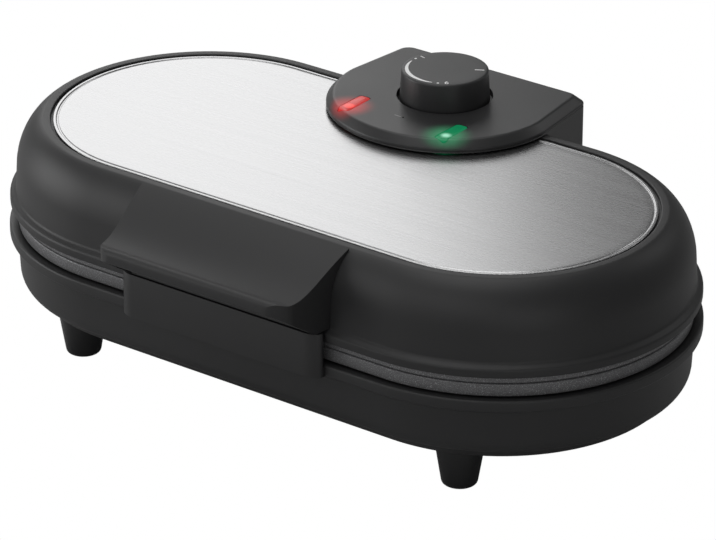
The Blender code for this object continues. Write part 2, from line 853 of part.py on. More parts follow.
def well_outline():
    """Plan of the opening that the console covers, D-shaped in front and open to the rear."""
    half = console_half_width - well_inset
    front = arc_points((0.0, knob_centre_y), (half, console_front_reach - well_inset),
                       180.0, 360.0, console_arc_steps // 2)
    return front + [(half, console_reach), (-half, console_reach)]


def steel_panel(lid, mat):
    """Brushed sheet set into the top of the lid, notched under the console."""
    inset = panel_sheet / 2
    profile = [
        (panel_radius - inset, panel_z), (panel_radius, panel_z + inset),
        (panel_radius, panel_top_z - inset / 2), (panel_radius - inset, panel_top_z),
    ]
    panel = add_piece("steel_top_panel", stadium_body("steel_top_panel", profile), mat, lid)
    well = prism_body("panel_notch", well_outline(), panel_z - cut_overrun, panel_top_z + cut_overrun)
    combine(panel, add_tool("panel_notch", well, lid), "DIFFERENCE")
    holes = bore_tool("panel_screw_holes", console_screw_places(), screw_bore_radius,
                      panel_z - cut_overrun, panel_top_z + cut_overrun, lid)
    combine(panel, holes, "DIFFERENCE")
    return panel


def lid_envelope(name, lid):
    """The lid's outside grown by the assembly clearance, for the pieces that sit against it."""
    profile = lid_outer_profile(gap)
    profile.append((lid_rim_radius - lid_rim_rounding, lid_top_z + gap))
    return add_tool(name, stadium_body(name, profile), lid)


def handle(lid, mat):
    """Grip on the front of the lid: scooped top, raised rounded lip, cheeks and a hollow underside."""
    top_y = -(lid_rim_radius + handle_rim_gap)
    top_z = lid_top_z + handle_rim_rise
    lip_back_y = -(handle_reach - handle_lip_width)
    scoop = []
    for i in range(1, handle_scoop_steps + 1):
        y = top_y + (lip_back_y - top_y) * i / handle_scoop_steps
        scoop.append((y, handle_top_height(y)))
    r = handle_lip_rounding
    lip_low = handle_lip_height - handle_lip_thickness
    lip = arc_points((-(handle_reach - r), handle_lip_height - r), (r, r), 90.0, 180.0, 3)
    lip += arc_points((-(handle_reach - r), lip_low + r), (r, r), 180.0, 270.0, 2)
    low_z = tab_top_z + handle_tab_clearance
    tab_y = -(base_rim_radius + tab_face_reach)
    root_y = -(lid_wall_radius - lid_wall)
    profile = [(top_y, top_z)] + scoop + lip + [(tab_y, low_z), (root_y, low_z), (top_y, low_z)]
    grip = bar_body("handle", profile, -handle_half_width, handle_half_width)
    grip = add_piece("handle", grip, mat, lid)
    corner = handle_corner
    right = arc_points((handle_half_width - corner, -(handle_reach - corner)), (corner, corner), -90.0, 0.0,
                       handle_corner_steps)
    plan = [(-x, y) for x, y in reversed(right)] + right + [(handle_half_width, 0.0), (-handle_half_width, 0.0)]
    shape = prism_body("handle_plan", plan, low_z - cut_overrun, top_z + cut_overrun)
    combine(grip, add_tool("handle_plan", shape, lid), "INTERSECT")
    combine(grip, lid_envelope("handle_seat", lid), "DIFFERENCE")
    combine(grip, handle_pocket(lid, low_z), "DIFFERENCE")
    bm = bmesh.new()
    for side in (-1, 1):
        ring = circle_outline(screw_bore_radius, screw_steps, (side * handle_screw_out_x, handle_screw_z()))
        loops = [[bm.verts.new((x, y, z)) for x, z in ring]
                 for y in (-lid_wall_radius + lid_wall, -lid_wall_radius - screw_grip - gap * 2)]
        bridge_loops(bm, loops)
    combine(grip, add_tool("handle_screw_bores", finish_mesh(bm, "handle_screw_bores"), lid), "DIFFERENCE")
    return grip


def handle_pocket(lid, low_z):
    """Finger space under the grip."""
    back_y = -(lid_wall_radius + handle_back_wall)
    front_y = -(handle_reach - handle_lip_width)
    roof = []
    for i in range(handle_scoop_steps + 1):
        y = back_y + (front_y - back_y) * i / handle_scoop_steps
        roof.append((y, handle_top_height(y) - handle_skin))
    profile = [(back_y, low_z - cut_overrun)] + roof + [(front_y, low_z - cut_overrun)]
    half = handle_half_width - handle_corner / 2
    mesh = bar_body("handle_pocket", profile, -half, half)
    return add_tool("handle_pocket", mesh, lid)


def handle_top_height(y):
    """Height of the grip's hollow top face at a place between the rim and the lip."""
    rim_y = -(lid_rim_radius + handle_rim_gap)
    rim_z = lid_top_z + handle_rim_rise
    share = (rim_y - y) / (rim_y + handle_reach - handle_lip_width)
    fall = handle_lip_height - handle_scoop / 2 - rim_z
    return rim_z + fall * share - handle_scoop * math.sin(math.pi * share ** 2)


def console_outline(inset=0.0):
    """Plan of the console: round in front, square with rounded corners behind."""
    half = console_half_width - inset
    front = arc_points((0.0, knob_centre_y), (half, console_front_reach - inset),
                       180.0, 360.0, console_arc_steps)
    back = console_reach - inset
    rear_half = half - console_taper_in
    r = console_corner
    right = arc_points((rear_half - r, back - r), (r, r), 0.0, 90.0, console_corner_steps)
    left = [(-x, y) for x, y in reversed(right)]
    return front + right + left


def console_form(name):
    """Outer body of the console, from the skirt's lower edge up to the bevelled top."""
    bevel_z = console_top_z - console_bevel_height
    soft = console_bevel_height / 4
    levels = [
        (0.0, console_low_z), (0.0, bevel_z), (console_bevel_in / 4, bevel_z + soft),
        (console_bevel_in - soft, console_top_z - soft / 2), (console_bevel_in, console_top_z),
    ]
    bm = bmesh.new()
    add_loops(bm, [(console_outline(inset), z) for inset, z in levels])
    return finish_mesh(bm, name)


def console_screw_places():
    """Screws near the front corners of the console, between its skirt and the well."""
    inset = (console_wall + well_inset) / 2 - console_wall / 2
    turn = math.radians(console_screw_turn)
    x = (console_half_width - inset) * math.cos(turn)
    y = knob_centre_y - (console_front_reach - inset) * math.sin(turn)
    return [(-x, y), (x, y)]


def slot_outline(side, grow=0.0):
    """Plan of one indicator slot, with rounded ends."""
    half = lens_width / 2 + grow
    length = lens_length + grow * 2
    centre_y = lens_front_y + lens_length / 2
    bend = half * lens_bend_share
    x = side * lens_out_x
    upper = arc_points((x + half - bend, centre_y + length / 2 - bend), (bend, bend), 0.0, 90.0, lens_end_steps // 2)
    upper += arc_points((x - half + bend, centre_y + length / 2 - bend), (bend, bend), 90.0, 180.0,
                        lens_end_steps // 2)
    lower = [(2 * x - px, 2 * centre_y - py) for px, py in upper]
    return upper + lower


def control_console(lid, mat):
    """Hollow cover behind the panel with the knob recess, lamp slots and thermostat posts."""
    console = add_piece("control_console", console_form("control_console"), mat, lid)
    combine(console, lid_envelope("console_seat", lid), "DIFFERENCE")
    inner = prism_body("console_hollow", console_outline(console_wall), console_low_z - cut_overrun, console_roof_z)
    combine(console, add_tool("console_hollow", inner, lid), "DIFFERENCE")
    posts = [(side * bracket_post_out, knob_centre_y) for side in (-1, 1)]
    bm = bmesh.new()
    for post in posts:
        ring = circle_outline(bracket_post_radius, screw_steps + 2, post)
        add_loops(bm, [(ring, console_roof_z - bracket_post_length), (ring, console_roof_z + console_roof / 3)])
    for place in console_screw_places():
        ring = circle_outline(console_post_radius, screw_steps + 2, place)
        add_loops(bm, [(ring, panel_top_z + gap), (ring, console_roof_z + console_roof / 3)])
    combine(console, add_tool("console_posts", finish_mesh(bm, "console_posts"), lid), "UNION")
    bm = bmesh.new()
    for post in posts:
        ring = circle_outline(screw_bore_radius, screw_steps, post)
        low = console_roof_z - bracket_post_length
        add_loops(bm, [(ring, low - cut_overrun), (ring, low + screw_grip + gap)])
    for place in console_screw_places():
        ring = circle_outline(screw_bore_radius, screw_steps, place)
        add_loops(bm, [(ring, panel_top_z - cut_overrun), (ring, console_screw_tip_z() + gap)])
    centre = (0.0, knob_centre_y)
    add_loops(bm, [(circle_outline(spindle_radius + gap, round_steps // 2, centre), console_roof_z - cut_overrun),
                   (circle_outline(spindle_radius + gap, round_steps // 2, centre),
                    console_top_z - knob_recess_depth - gap)])
    combine(console, add_tool("console_bores", finish_mesh(bm, "console_bores"), lid), "DIFFERENCE")
    bm = bmesh.new()
    recess_z = console_top_z - knob_recess_depth
    add_loops(bm, [(circle_outline(knob_recess_radius, round_steps, centre), recess_z),
                   (circle_outline(knob_recess_radius, round_steps, centre), console_top_z + cut_overrun)])
    for side in (-1, 1):
        outline = slot_outline(side, gap)
        add_loops(bm, [(outline, console_roof_z - console_roof), (outline, console_top_z + cut_overrun)])
    combine(console, add_tool("console_top_cuts", finish_mesh(bm, "console_top_cuts"), lid), "DIFFERENCE")
    hole = bore_tool("spindle_hole", [centre], spindle_radius + gap, console_roof_z, recess_z + cut_overrun, lid)
    combine(console, hole, "DIFFERENCE")
    return console


def console_screw_tip_z():
    return console_roof_z + console_roof / 3


def indicator_lens(name, lid, mat, side):
    """Coloured window that follows the console's top and bevel."""
    low_z = console_top_z - lens_depth
    lens = add_piece(name, prism_body(name, slot_outline(side), low_z, console_top_z + cut_overrun), mat, lid)
    combine(lens, add_tool(name + "_form", console_form(name + "_form"), lid), "INTERSECT")
    return lens


def indicator_lamp(name, lid, mat, side):
    """Small neon lamp standing under its lens."""
    top_z = console_top_z - lens_depth - gap
    crown = lamp_radius / 2
    profile = [
        (lamp_radius, -lamp_length), (lamp_radius, -crown), (lamp_radius - crown, 0.0),
    ]
    y = lens_front_y + lens_length / 2 + lamp_back
    mesh = turned_body(name, profile, screw_steps)
    return add_piece(name, mesh, mat, lid, (side * lens_out_x, y, top_z))


def knob_group(knob, knob_mat, metal):
    """Turning knob with its hub, and the spindle that it drives."""
    height = knob_height
    bore_top = height - knob_roof
    bore = spindle_radius + gap
    roof = height - knob_wall
    centre = knob_place()
    profile = [
        (bore, bore_top), (bore, knob_edge), (knob_hub_radius, knob_edge), (knob_hub_radius, roof),
        (knob_radius - knob_wall, roof), (knob_skirt_radius - knob_wall, 0.0), (knob_skirt_radius, 0.0),
        (knob_skirt_radius, knob_skirt_height), (knob_radius + knob_edge / 4, knob_skirt_height + knob_edge),
        (knob_radius, height - knob_edge), (knob_radius - knob_edge / 2, height - knob_edge / 4),
        (knob_radius - knob_edge, height),
    ]
    add_piece("temperature_knob", turned_body("temperature_knob", profile), knob_mat, knob, centre)
    low = thermostat_top_z + gap
    length = knob_z + bore_top - gap - low
    profile = [(spindle_radius, 0.0), (spindle_radius, length)]
    mesh = turned_body("thermostat_spindle", profile, round_steps // 2)
    add_piece("thermostat_spindle", mesh, metal, knob, (0.0, knob_centre_y, low))


def knob_place():
    return (0.0, knob_centre_y, knob_z)


def thermostat(lid, plastic_mat, metal):
    """Adjustable thermostat that hangs from the console on a sheet bracket."""
    mesh = box_body("thermostat_bracket", (bracket_length, bracket_width, bracket_sheet))
    low_z = bracket_top_z - bracket_sheet
    bracket = add_piece("thermostat_bracket", mesh, metal, lid, (0.0, knob_centre_y, low_z))
    places = [(side * bracket_post_out, knob_centre_y) for side in (-1, 1)]
    holes = bore_tool("bracket_screw_holes", places, screw_bore_radius, low_z - cut_overrun,
                      bracket_top_z + cut_overrun, lid)
    combine(bracket, holes, "DIFFERENCE")
    hole = bore_tool("bracket_spindle_hole", [(0.0, knob_centre_y)], spindle_radius + gap,
                     low_z - cut_overrun, bracket_top_z + cut_overrun, lid)
    combine(bracket, hole, "DIFFERENCE")
    mesh = box_body("thermostat_body", (thermostat_length, thermostat_width, thermostat_height), box_rounding)
    add_piece("thermostat_body", mesh, plastic_mat, lid,
              (0.0, knob_centre_y, thermostat_top_z - thermostat_height))
    length = gap * 2 + bracket_sheet + screw_grip - gap
    sides = dict(zip(("left", "right"), places))
    set_of_screws("bracket_screw_", lid, metal, sides, low_z - gap, 1, length)


def gland_group(base, mat):
    """Bushing where the supply cord would enter the base, with its nut inside the wall."""
    outer = base_wall_radius + base_wall_lean + gap - base_wall_radius
    inner = -base_wall - gap
    nut_end = inner - gland_nut
    profile = [
        (gland_bore_radius, nut_end), (gland_barrel_radius, nut_end), (gland_barrel_radius, outer),
        (gland_flange_radius, outer), (gland_flange_radius, outer + gland_flange),
        (gland_sleeve_radius, outer + gland_flange + gland_flange / 2),
        (gland_sleeve_radius, outer + gland_flange + gland_sleeve),
        (gland_bore_radius, outer + gland_flange + gland_sleeve),
    ]
    place = (gland_out_x, base_wall_radius, gland_z())
    turn = (math.radians(-90.0), 0.0, 0.0)
    mesh = turned_body("cord_inlet_gland", profile, round_steps * 2 // 3, closed=True)
    add_piece("cord_inlet_gland", mesh, mat, base, place, turn)
    bore = gland_barrel_radius + gap
    profile = [(bore, nut_end), (gland_nut_radius, nut_end), (gland_nut_radius, inner), (bore, inner)]
    mesh = turned_body("cord_inlet_nut", profile, round_steps // 2, closed=True)
    add_piece("cord_inlet_nut", mesh, mat, base, place, turn)


def base_wiring(base, block_mat, lead_mat):
    """Terminal block on the bottom cover, the supply lead from the gland and the element lead."""
    floor_top = cover_z + cover_floor
    block_z = floor_top + gap
    size = (terminal_length, terminal_width, terminal_height)
    mesh = box_body("terminal_block", size, box_rounding)
    add_piece("terminal_block", mesh, block_mat, base, (terminal_out_x, terminal_out_y, block_z))
    mid_z = block_z + terminal_height / 2
    start = (gland_out_x, base_inner_radius - gland_nut, gland_z())
    end = (terminal_out_x + terminal_length / 2 + gap, terminal_out_y, mid_z)
    middle = [((start[0] + end[0]) / 2 + lead_bow / 4, end[1] - lead_bow / 4, (start[2] + end[2]) / 2)]
    path = lead_path(start, (0, -1, 0), middle, (1, 0, 0), end)
    add_piece("supply_lead", tube_curve("supply_lead", path, mains_lead_radius), lead_mat, base)
    tip = (element_lead_x, element_path_radius + element_lead_length + gap, lower_element_z)
    start = (terminal_out_x - terminal_length / 2 - gap, terminal_out_y, mid_z)
    middle = [(tip[0], tip[1] + lead_bow, (start[2] + tip[2]) / 2)]
    path = lead_path(start, (-1, 0, 0), middle, (0, 1, 0), tip)
    add_piece("lower_element_lead", tube_curve("lower_element_lead", path, lead_radius), lead_mat, base)


def lid_wiring(lid, lead_mat):
    """Lead from the thermostat down to the upper element."""
    tip = (-element_lead_x, element_path_radius + element_lead_length + gap, upper_element_z)
    mid_z = thermostat_top_z - thermostat_height / 2
    start = (-thermostat_length / 2 - gap, knob_centre_y, mid_z)
    middle = [(tip[0] - lead_bow / 2, tip[1] + lead_bow, (start[2] + tip[2]) / 2)]
    path = lead_path(start, (-1, 0, 0), middle, (0, 1, 0), tip)
    add_piece("upper_element_lead", tube_curve("upper_element_lead", path, lead_radius), lead_mat, lid)


def hinge_pins(base, mat):
    length = lid_knuckle_length + (gap + base_ear_length) * 2
    profile = [(hinge_pin_radius, -length / 2), (hinge_pin_radius, length / 2)]
    for name, side in (("hinge_pin_left", -1), ("hinge_pin_right", 1)):
        mesh = turned_body(name, profile, knuckle_steps)
        add_piece(name, mesh, mat, base, (side * hinge_out_x, hinge_y, hinge_z), (0.0, math.radians(90.0), 0.0))


def handle_screws(lid, mat):
    length = lid_wall + gap * 2 + screw_grip
    inner_y = -(lid_wall_radius - lid_wall) + gap + base_wall_lean
    for name, side in (("handle_screw_left", -1), ("handle_screw_right", 1)):
        place = (side * handle_screw_out_x, inner_y, handle_screw_z())
        add_piece(name, screw_body(name, length), mat, lid, place, (math.radians(90.0), 0.0, 0.0))


def build():
    clear_scene()
    shell = plastic("matte_black_plastic", (0.020, 0.020, 0.021), 0.52)
    gloss = plastic("satin_black_plastic", (0.014, 0.014, 0.015), 0.34)
    cast = plastic("coated_cast_plate", (0.085, 0.085, 0.088), 0.55, 0.4)
    steel = plastic("brushed_steel", (0.60, 0.60, 0.61), 0.32, 1.0)
    sheet = plastic("plated_sheet", (0.55, 0.56, 0.57), 0.40, 1.0)
    zinc = plastic("zinc_screws", (0.45, 0.46, 0.48), 0.38, 1.0)
    red = plastic("red_lens", (0.80, 0.03, 0.02), 0.20)
    green = plastic("green_lens", (0.01, 0.35, 0.12), 0.20)
    glass = plastic("lamp_glass", (0.75, 0.60, 0.50), 0.15)
    ceramic = plastic("terminal_ceramic", (0.78, 0.76, 0.70), 0.55)
    sleeve = plastic("lead_sleeve", (0.62, 0.60, 0.55), 0.70)

    base = Frame("appliance", (0.0, 0.0, 0.0))
    lid = Frame("lid_axis", (0.0, hinge_y, hinge_z), base)
    knob = Frame("knob_axis", knob_place(), lid)

    base_housing(base, shell)
    bottom_cover(base, shell)
    feet(base, gloss, zinc)
    floor_top = cover_z + cover_floor
    cooking_plate("lower_cooking_plate", base, cast, lower_plate_top_z, 1, lower_plate_edge,
                  lower_mould_depth, floor_top + gap, lower_reflector_z)
    heating_element("lower_heating_element", base, sheet, lower_element_z)
    heat_reflector("lower_heat_reflector", base, steel, lower_reflector_z, 1)
    thermal_cutout("lower_thermal_cutout", base, ceramic, lower_plate_z, 1)
    stubs = {"front": (0.0, -reflector_post_out), "rear": (0.0, reflector_post_out)}
    set_of_screws("lower_plate_screw_", base, zinc, plate_posts(),
                  cover_z - gap, 1, gap * 2 + cover_floor + screw_grip - gap)
    set_of_screws("lower_reflector_screw_", base, zinc, stubs,
                  lower_reflector_z - reflector_sheet - gap, 1, reflector_sheet + gap + screw_grip)
    gland_group(base, gloss)
    base_wiring(base, ceramic, sleeve)
    hinge_pins(base, zinc)

    lid_housing(lid, shell)
    steel_panel(lid, steel)
    handle(lid, shell)
    handle_screws(lid, zinc)
    boss_low_z = lid_roof_z - lid_boss_depth
    cooking_plate("upper_cooking_plate", lid, cast, upper_plate_z, -1, upper_plate_edge,
                  upper_mould_depth, boss_low_z - gap, upper_reflector_z)
    heating_element("upper_heating_element", lid, sheet, upper_element_z)
    heat_reflector("upper_heat_reflector", lid, steel, upper_reflector_z, -1)
    thermal_cutout("upper_thermal_cutout", lid, ceramic, upper_plate_top_z, -1)
    grip = counterbore_z() - boss_low_z + gap * 2 + screw_grip - gap
    set_of_screws("upper_plate_screw_", lid, zinc, plate_posts(),
                  counterbore_z() + gap, -1, grip)
    set_of_screws("upper_reflector_screw_", lid, zinc, stubs,
                  upper_reflector_z + reflector_sheet + gap, -1, reflector_sheet + gap + screw_grip)
    control_console(lid, gloss)
    sides = dict(zip(("left", "right"), console_screw_places()))
    set_of_screws("console_screw_", lid, zinc, sides,
                  lid_roof_z - gap, 1, console_screw_tip_z() - lid_roof_z)
    indicator_lens("red_power_lens", lid, red, -1)
    indicator_lens("green_ready_lens", lid, green, 1)
    indicator_lamp("red_neon_lamp", lid, glass, -1)
    indicator_lamp("green_neon_lamp", lid, glass, 1)
    thermostat(lid, ceramic, sheet)
    lid_wiring(lid, sleeve)

    knob_group(knob, gloss, zinc)


build()
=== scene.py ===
"""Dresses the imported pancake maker: smooth moulded shells, brushed panel, cast plates, dial and stage."""
import json
import math

import bmesh
import bpy
from bpy.props import FloatProperty, FloatVectorProperty, IntProperty, PointerProperty
from mathutils import Matrix, Vector


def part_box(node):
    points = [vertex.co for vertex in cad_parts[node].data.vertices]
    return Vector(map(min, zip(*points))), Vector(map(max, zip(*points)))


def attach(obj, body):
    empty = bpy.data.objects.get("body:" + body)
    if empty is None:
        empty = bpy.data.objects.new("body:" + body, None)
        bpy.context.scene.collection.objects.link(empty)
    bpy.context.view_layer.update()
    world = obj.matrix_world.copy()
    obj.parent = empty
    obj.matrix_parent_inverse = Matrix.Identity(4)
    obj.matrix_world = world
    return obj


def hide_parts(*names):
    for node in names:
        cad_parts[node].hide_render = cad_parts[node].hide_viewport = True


bl_info = {
    "name": "Pancake maker",
    "version": (1, 0, 0),
    "blender": (4, 5, 0),
    "location": "View3D > Sidebar > Pancake maker",
    "description": "Builds the visible pieces of a two-pancake maker round its packed solids",
    "category": "Object",
}

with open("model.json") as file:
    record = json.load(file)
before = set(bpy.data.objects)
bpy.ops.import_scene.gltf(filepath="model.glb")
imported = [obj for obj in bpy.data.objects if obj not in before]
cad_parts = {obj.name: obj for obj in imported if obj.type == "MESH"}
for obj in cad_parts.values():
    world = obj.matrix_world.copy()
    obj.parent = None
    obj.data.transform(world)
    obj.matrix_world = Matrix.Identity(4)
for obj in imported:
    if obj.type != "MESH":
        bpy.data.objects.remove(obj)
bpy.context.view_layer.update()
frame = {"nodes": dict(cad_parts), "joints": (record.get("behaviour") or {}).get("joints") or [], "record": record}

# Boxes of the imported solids, from which most sizes are read
panel_low, panel_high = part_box("steel_top_panel")
base_low, base_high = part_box("base_housing")
cover_low, cover_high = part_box("base_bottom_cover")
lid_low, lid_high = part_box("lid_housing")
lower_low, lower_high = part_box("lower_cooking_plate")
upper_low, upper_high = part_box("upper_cooking_plate")
handle_low, handle_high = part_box("handle")
console_low, console_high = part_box("control_console")
knob_low, knob_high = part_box("temperature_knob")
lens_low, lens_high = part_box("green_ready_lens")
pin_low, pin_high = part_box("hinge_pin_right")
gland_low, gland_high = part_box("cord_inlet_gland")
foot_low, foot_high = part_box("foot_front_right")

middle_y = (cover_low.y + cover_high.y) / 2
panel_radius = (panel_high.y - panel_low.y) / 2
half_straight = (panel_high.x - panel_low.x) / 2 - panel_radius
base_rim_radius = base_high.x - half_straight
lid_lip_radius = lid_high.x - half_straight
plate_radius = lower_high.x - half_straight
knob_axis = Vector(((knob_low.x + knob_high.x) / 2, (knob_low.y + knob_high.y) / 2))
hinge_joint = next(joint for joint in frame["joints"] if joint["name"] == "lid_hinge")
hinge_axis = Vector(hinge_joint["pos_m"])
pin_axis = (hinge_axis.y, hinge_axis.z)
pin_x = (pin_low.x + pin_high.x) / 2
GAP = 0.0003            # between neighbouring pieces
OVERRUN = 0.002         # of a cutting shape past what it cuts
CORNER_SHARE = 0.48     # most of a side that one softened corner may take
SHARP_ANGLE = 34.0      # degrees between faces from which shading breaks
BEVEL_ANGLE = 38.0      # degrees between faces from which an edge is rounded
HINGE_RADIUS = 0.0046   # of the ears and knuckles
HINGE_BORE = 0.00225    # radius of their bores
HINGE_SOFT = 0.0004     # rounding of their edges
LOWER_EDGE = 0.0058     # height of the lower plate's edge
UPPER_EDGE = 0.0037     # height of the upper plate's edge


def length(name, default, description):
    return FloatProperty(name=name, description=description, default=default, unit="LENGTH", precision=5)


def number(name, default, description, **limits):
    return FloatProperty(name=name, description=description, default=default, **limits)


def tint(name, default, description):
    return FloatVectorProperty(name=name, description=description, default=default, size=3,
                               subtype="COLOR", min=0.0, max=1.0)


class PANCAKE_PG_shell(bpy.types.PropertyGroup):
    """Sizes of the base and lid housings."""
    steps: IntProperty(name="Curve steps", description="Segments in each end half circle", default=56)
    wall: length("Wall", 0.0026, "Thickness of the moulded walls")
    soft: length("Edge softness", 0.0007, "Rounding of moulded edges")
    base_wall_radius: length("Base wall radius", base_rim_radius - 0.0043, "End radius of the base wall")
    base_lean: length("Base lean", 0.0007, "How far the base wall leans out towards its rim")
    base_turn_in: length("Base turn in", 0.0044, "How far the wall turns in at the bottom")
    base_turn_height: length("Base turn height", 0.0062, "Height of that turn")
    base_rim_height: length("Base rim height", 0.0052, "Height of the rim band of the base")
    base_rim_slope: length("Base rim slope", 0.0014, "Slope under the rim band")
    base_height: length("Base top", lower_high.z - 0.0061, "Height of the base rim above the table")
    joint_height: length("Cover joint", foot_high.z + GAP + 0.0045, "Height of the joint with the cover")
    cover_slope: length("Cover slope", 0.0034, "How far the bottom cover slopes in")
    lid_wall_radius: length("Lid wall radius", lid_lip_radius - 0.0027, "End radius of the lid wall low down")
    lid_lean: length("Lid lean", 0.0008, "How far the lid wall leans in towards its shoulder")
    lip_height: length("Lid lip height", 0.0040, "Height of the lip band of the lid")
    lip_slope: length("Lid lip slope", 0.0016, "Slope above the lip band")
    wall_height: length("Lid wall height", 0.0188, "Height where the shoulder starts")
    shoulder_depth: length("Shoulder depth", 0.0157, "How far the shoulder curves in")
    shoulder_height: length("Shoulder height", 0.0210, "Height of the shoulder's full curve")
    shoulder_flat: number("Shoulder flatness", 0.2, "Share by which it is straight", min=0.0, max=1.0)
    rim_radius: length("Rim radius", panel_radius + 0.0053, "End radius of the rim band round the panel")
    rim_width: length("Rim width", 0.0041, "Width of the rim band")
    panel_seat: length("Panel seat", panel_low.z - GAP, "Height of the seat under the panel")


class PANCAKE_PG_panel(bpy.types.PropertyGroup):
    """Sizes of the steel panel's rolled edge."""
    bead: length("Bead", 0.0013, "Width of the rolled edge")
    groove: length("Groove", 0.0009, "Width of the groove inside the rolled edge")
    groove_depth: length("Groove depth", 0.00045, "Depth of that groove")
    sink: length("Sink", 0.0001, "How far the panel's field lies under its rolled edge")


class PANCAKE_PG_handle(bpy.types.PropertyGroup):
    """Sizes of the grip on the lid."""
    corner: length("Corner", 0.0105, "Plan rounding of the two front corners")
    taper: length("Taper", 0.0045, "How much narrower the grip is at its front, on each side")
    rim_gap: length("Rim gap", 0.0010, "Distance of the grip's top edge from the rim band")
    lip_height: length("Lip height", 0.0885, "Height of the raised front lip above the table")
    scoop: length("Scoop", 0.0024, "Depth of the hollow behind the lip")
    lip_width: length("Lip width", 0.0065, "Width of the front lip")
    lip_thickness: length("Lip thickness", 0.0058, "Height of the front lip")
    lip_rounding: length("Lip rounding", 0.0024, "Rounding of the front lip's upper edge")
    lip_under: length("Lip underside", 0.0010, "Rounding of the front lip's lower edge")
    skin: length("Skin", 0.0030, "Thickness of the top skin")
    back_wall: length("Back wall", 0.0085, "Depth of the block against the lid wall")


class PANCAKE_PG_console(bpy.types.PropertyGroup):
    """Sizes of the control console, its lamps and its printed mark."""
    bevel_in: length("Bevel width", 0.0038, "How far the top edge is bevelled in")
    bevel_height: length("Bevel height", 0.0036, "Height of the bevel")
    corner: length("Corner", 0.0050, "Plan rounding of the rear corners")
    taper: length("Taper", 0.0035, "How much narrower the console is at its back, on each side")
    wall: length("Wall", 0.0025, "Thickness of the skirt")
    roof: length("Roof", 0.0046, "Thickness of the top")
    recess_radius: length("Recess radius", 0.0219, "Radius of the recess round the knob")
    recess_depth: length("Recess depth", 0.0030, "Depth of the recess round the knob")
    band: length("Reveal", 0.0009, "Depth of the fine groove round the skirt")
    lens_bend: length("Lens rounding", 0.0018, "Plan rounding of the lens corners")
    pointer_out: length("Pointer distance", 0.0322, "From the knob's axis to the fixed mark")
    pointer_length: length("Pointer length", 0.0034, "Length of the fixed mark")
    pointer_dimple: length("Pointer dimple", 0.0006, "Radius of the dimple at the end of the mark")


class PANCAKE_PG_knob(bpy.types.PropertyGroup):
    """Sizes of the temperature knob and its printed scale."""
    radius: length("Radius", 0.0198, "Radius of the grip")
    edge: length("Edge", 0.0008, "Rounding of the top edge")
    sunk: length("Sunk", 0.0012, "How far the skirt reaches down into the recess")
    digit: length("Digits", 0.0042, "Height of the printed numbers")
    print_height: length("Print height", 0.00006, "Thickness of the printed marks")
    arc_radius: length("Arc radius", 0.0174, "Radius of the printed scale")
    arc_first: number("Arc start", 186.0, "Where the scale starts, in degrees")
    arc_last: number("Arc end", 286.0, "Where the scale ends, in degrees")
    pointer_turn: number("Off line", 30.0, "Where the off line stands, in degrees")


class PANCAKE_PG_plates(bpy.types.PropertyGroup):
    """Sizes of the cooking plates."""
    mould_radius: length("Mould radius", 0.0600, "Radius of each round mould")
    draft: length("Draft", 0.0025, "How far the mould's wall slopes in")
    lower_depth: length("Lower depth", 0.0062, "Depth of the lower moulds")
    upper_depth: length("Upper depth", 0.0052, "Depth of the upper moulds")
    pan_wall: length("Pan wall", 0.0032, "Thickness of the cast pans")
    edge_soft: length("Edge softness", 0.0006, "Rounding of the plate edge")


class PANCAKE_PG_finish(bpy.types.PropertyGroup):
    """Colours of the finishes."""
    shell: tint("Shell", (0.0110, 0.0110, 0.0115), "Matt moulded plastic")
    satin: tint("Console", (0.0160, 0.0160, 0.0165), "Satin moulded plastic")
    foot: tint("Feet", (0.0045, 0.0045, 0.0050), "Glossier plastic of the feet")
    cast: tint("Plates", (0.115, 0.115, 0.118), "Non-stick coating of the plates")
    steel: tint("Steel", (0.44, 0.44, 0.443), "Brushed panel")
    red: tint("Red lamp", (0.42, 0.010, 0.008), "Power lamp")
    green: tint("Green lamp", (0.003, 0.20, 0.075), "Ready lamp")
    mark: tint("Print", (0.80, 0.80, 0.80), "Printed marks")


class PANCAKE_PG_stage(bpy.types.PropertyGroup):
    """Camera and lights."""
    azimuth: number("Azimuth", 36.66, "Direction of the camera, degrees")
    elevation: number("Elevation", 25.54, "Height angle of the camera, degrees")
    roll: number("Roll", 0.15, "Tilt of the camera, degrees")
    distance: length("Distance", 1.9713, "From the camera to its aim")
    lens: number("Lens", 225.14, "Focal length in millimetres")
    aim_x: length("Aim X", 0.0213, "Aim of the camera from the middle of the body")
    aim_y: length("Aim Y", -0.0220, "Aim of the camera from the middle of the body")
    aim_z: length("Aim Z", 0.0620, "Aim of the camera above the table")
    sky: number("Sky", 0.22, "Light from all round")
    light: number("Lights", 0.55, "Strength of all lights together")


class PANCAKE_PG_settings(bpy.types.PropertyGroup):
    """All settings of the pancake maker."""
    shell: PointerProperty(type=PANCAKE_PG_shell)
    panel: PointerProperty(type=PANCAKE_PG_panel)
    handle: PointerProperty(type=PANCAKE_PG_handle)
    console: PointerProperty(type=PANCAKE_PG_console)
    knob: PointerProperty(type=PANCAKE_PG_knob)
    plates: PointerProperty(type=PANCAKE_PG_plates)
    finish: PointerProperty(type=PANCAKE_PG_finish)
    stage: PointerProperty(type=PANCAKE_PG_stage)


def settings():
    return bpy.context.scene.pancake_maker


# Outlines

def stadium(radius, steps=None):
    """Plan of the housings at one end radius, counter-clockwise."""
    steps = steps or settings().shell.steps
    points = []
    for side in (1, -1):
        for i in range(steps + 1):
            angle = -math.pi / 2 + math.pi * i / steps
            points.append((side * (half_straight + radius * math.cos(angle)),
                           middle_y + side * radius * math.sin(angle)))
    return points


def on_circle(centre, radius, angle):
    return centre[0] + radius * math.cos(angle), centre[1] + radius * math.sin(angle)


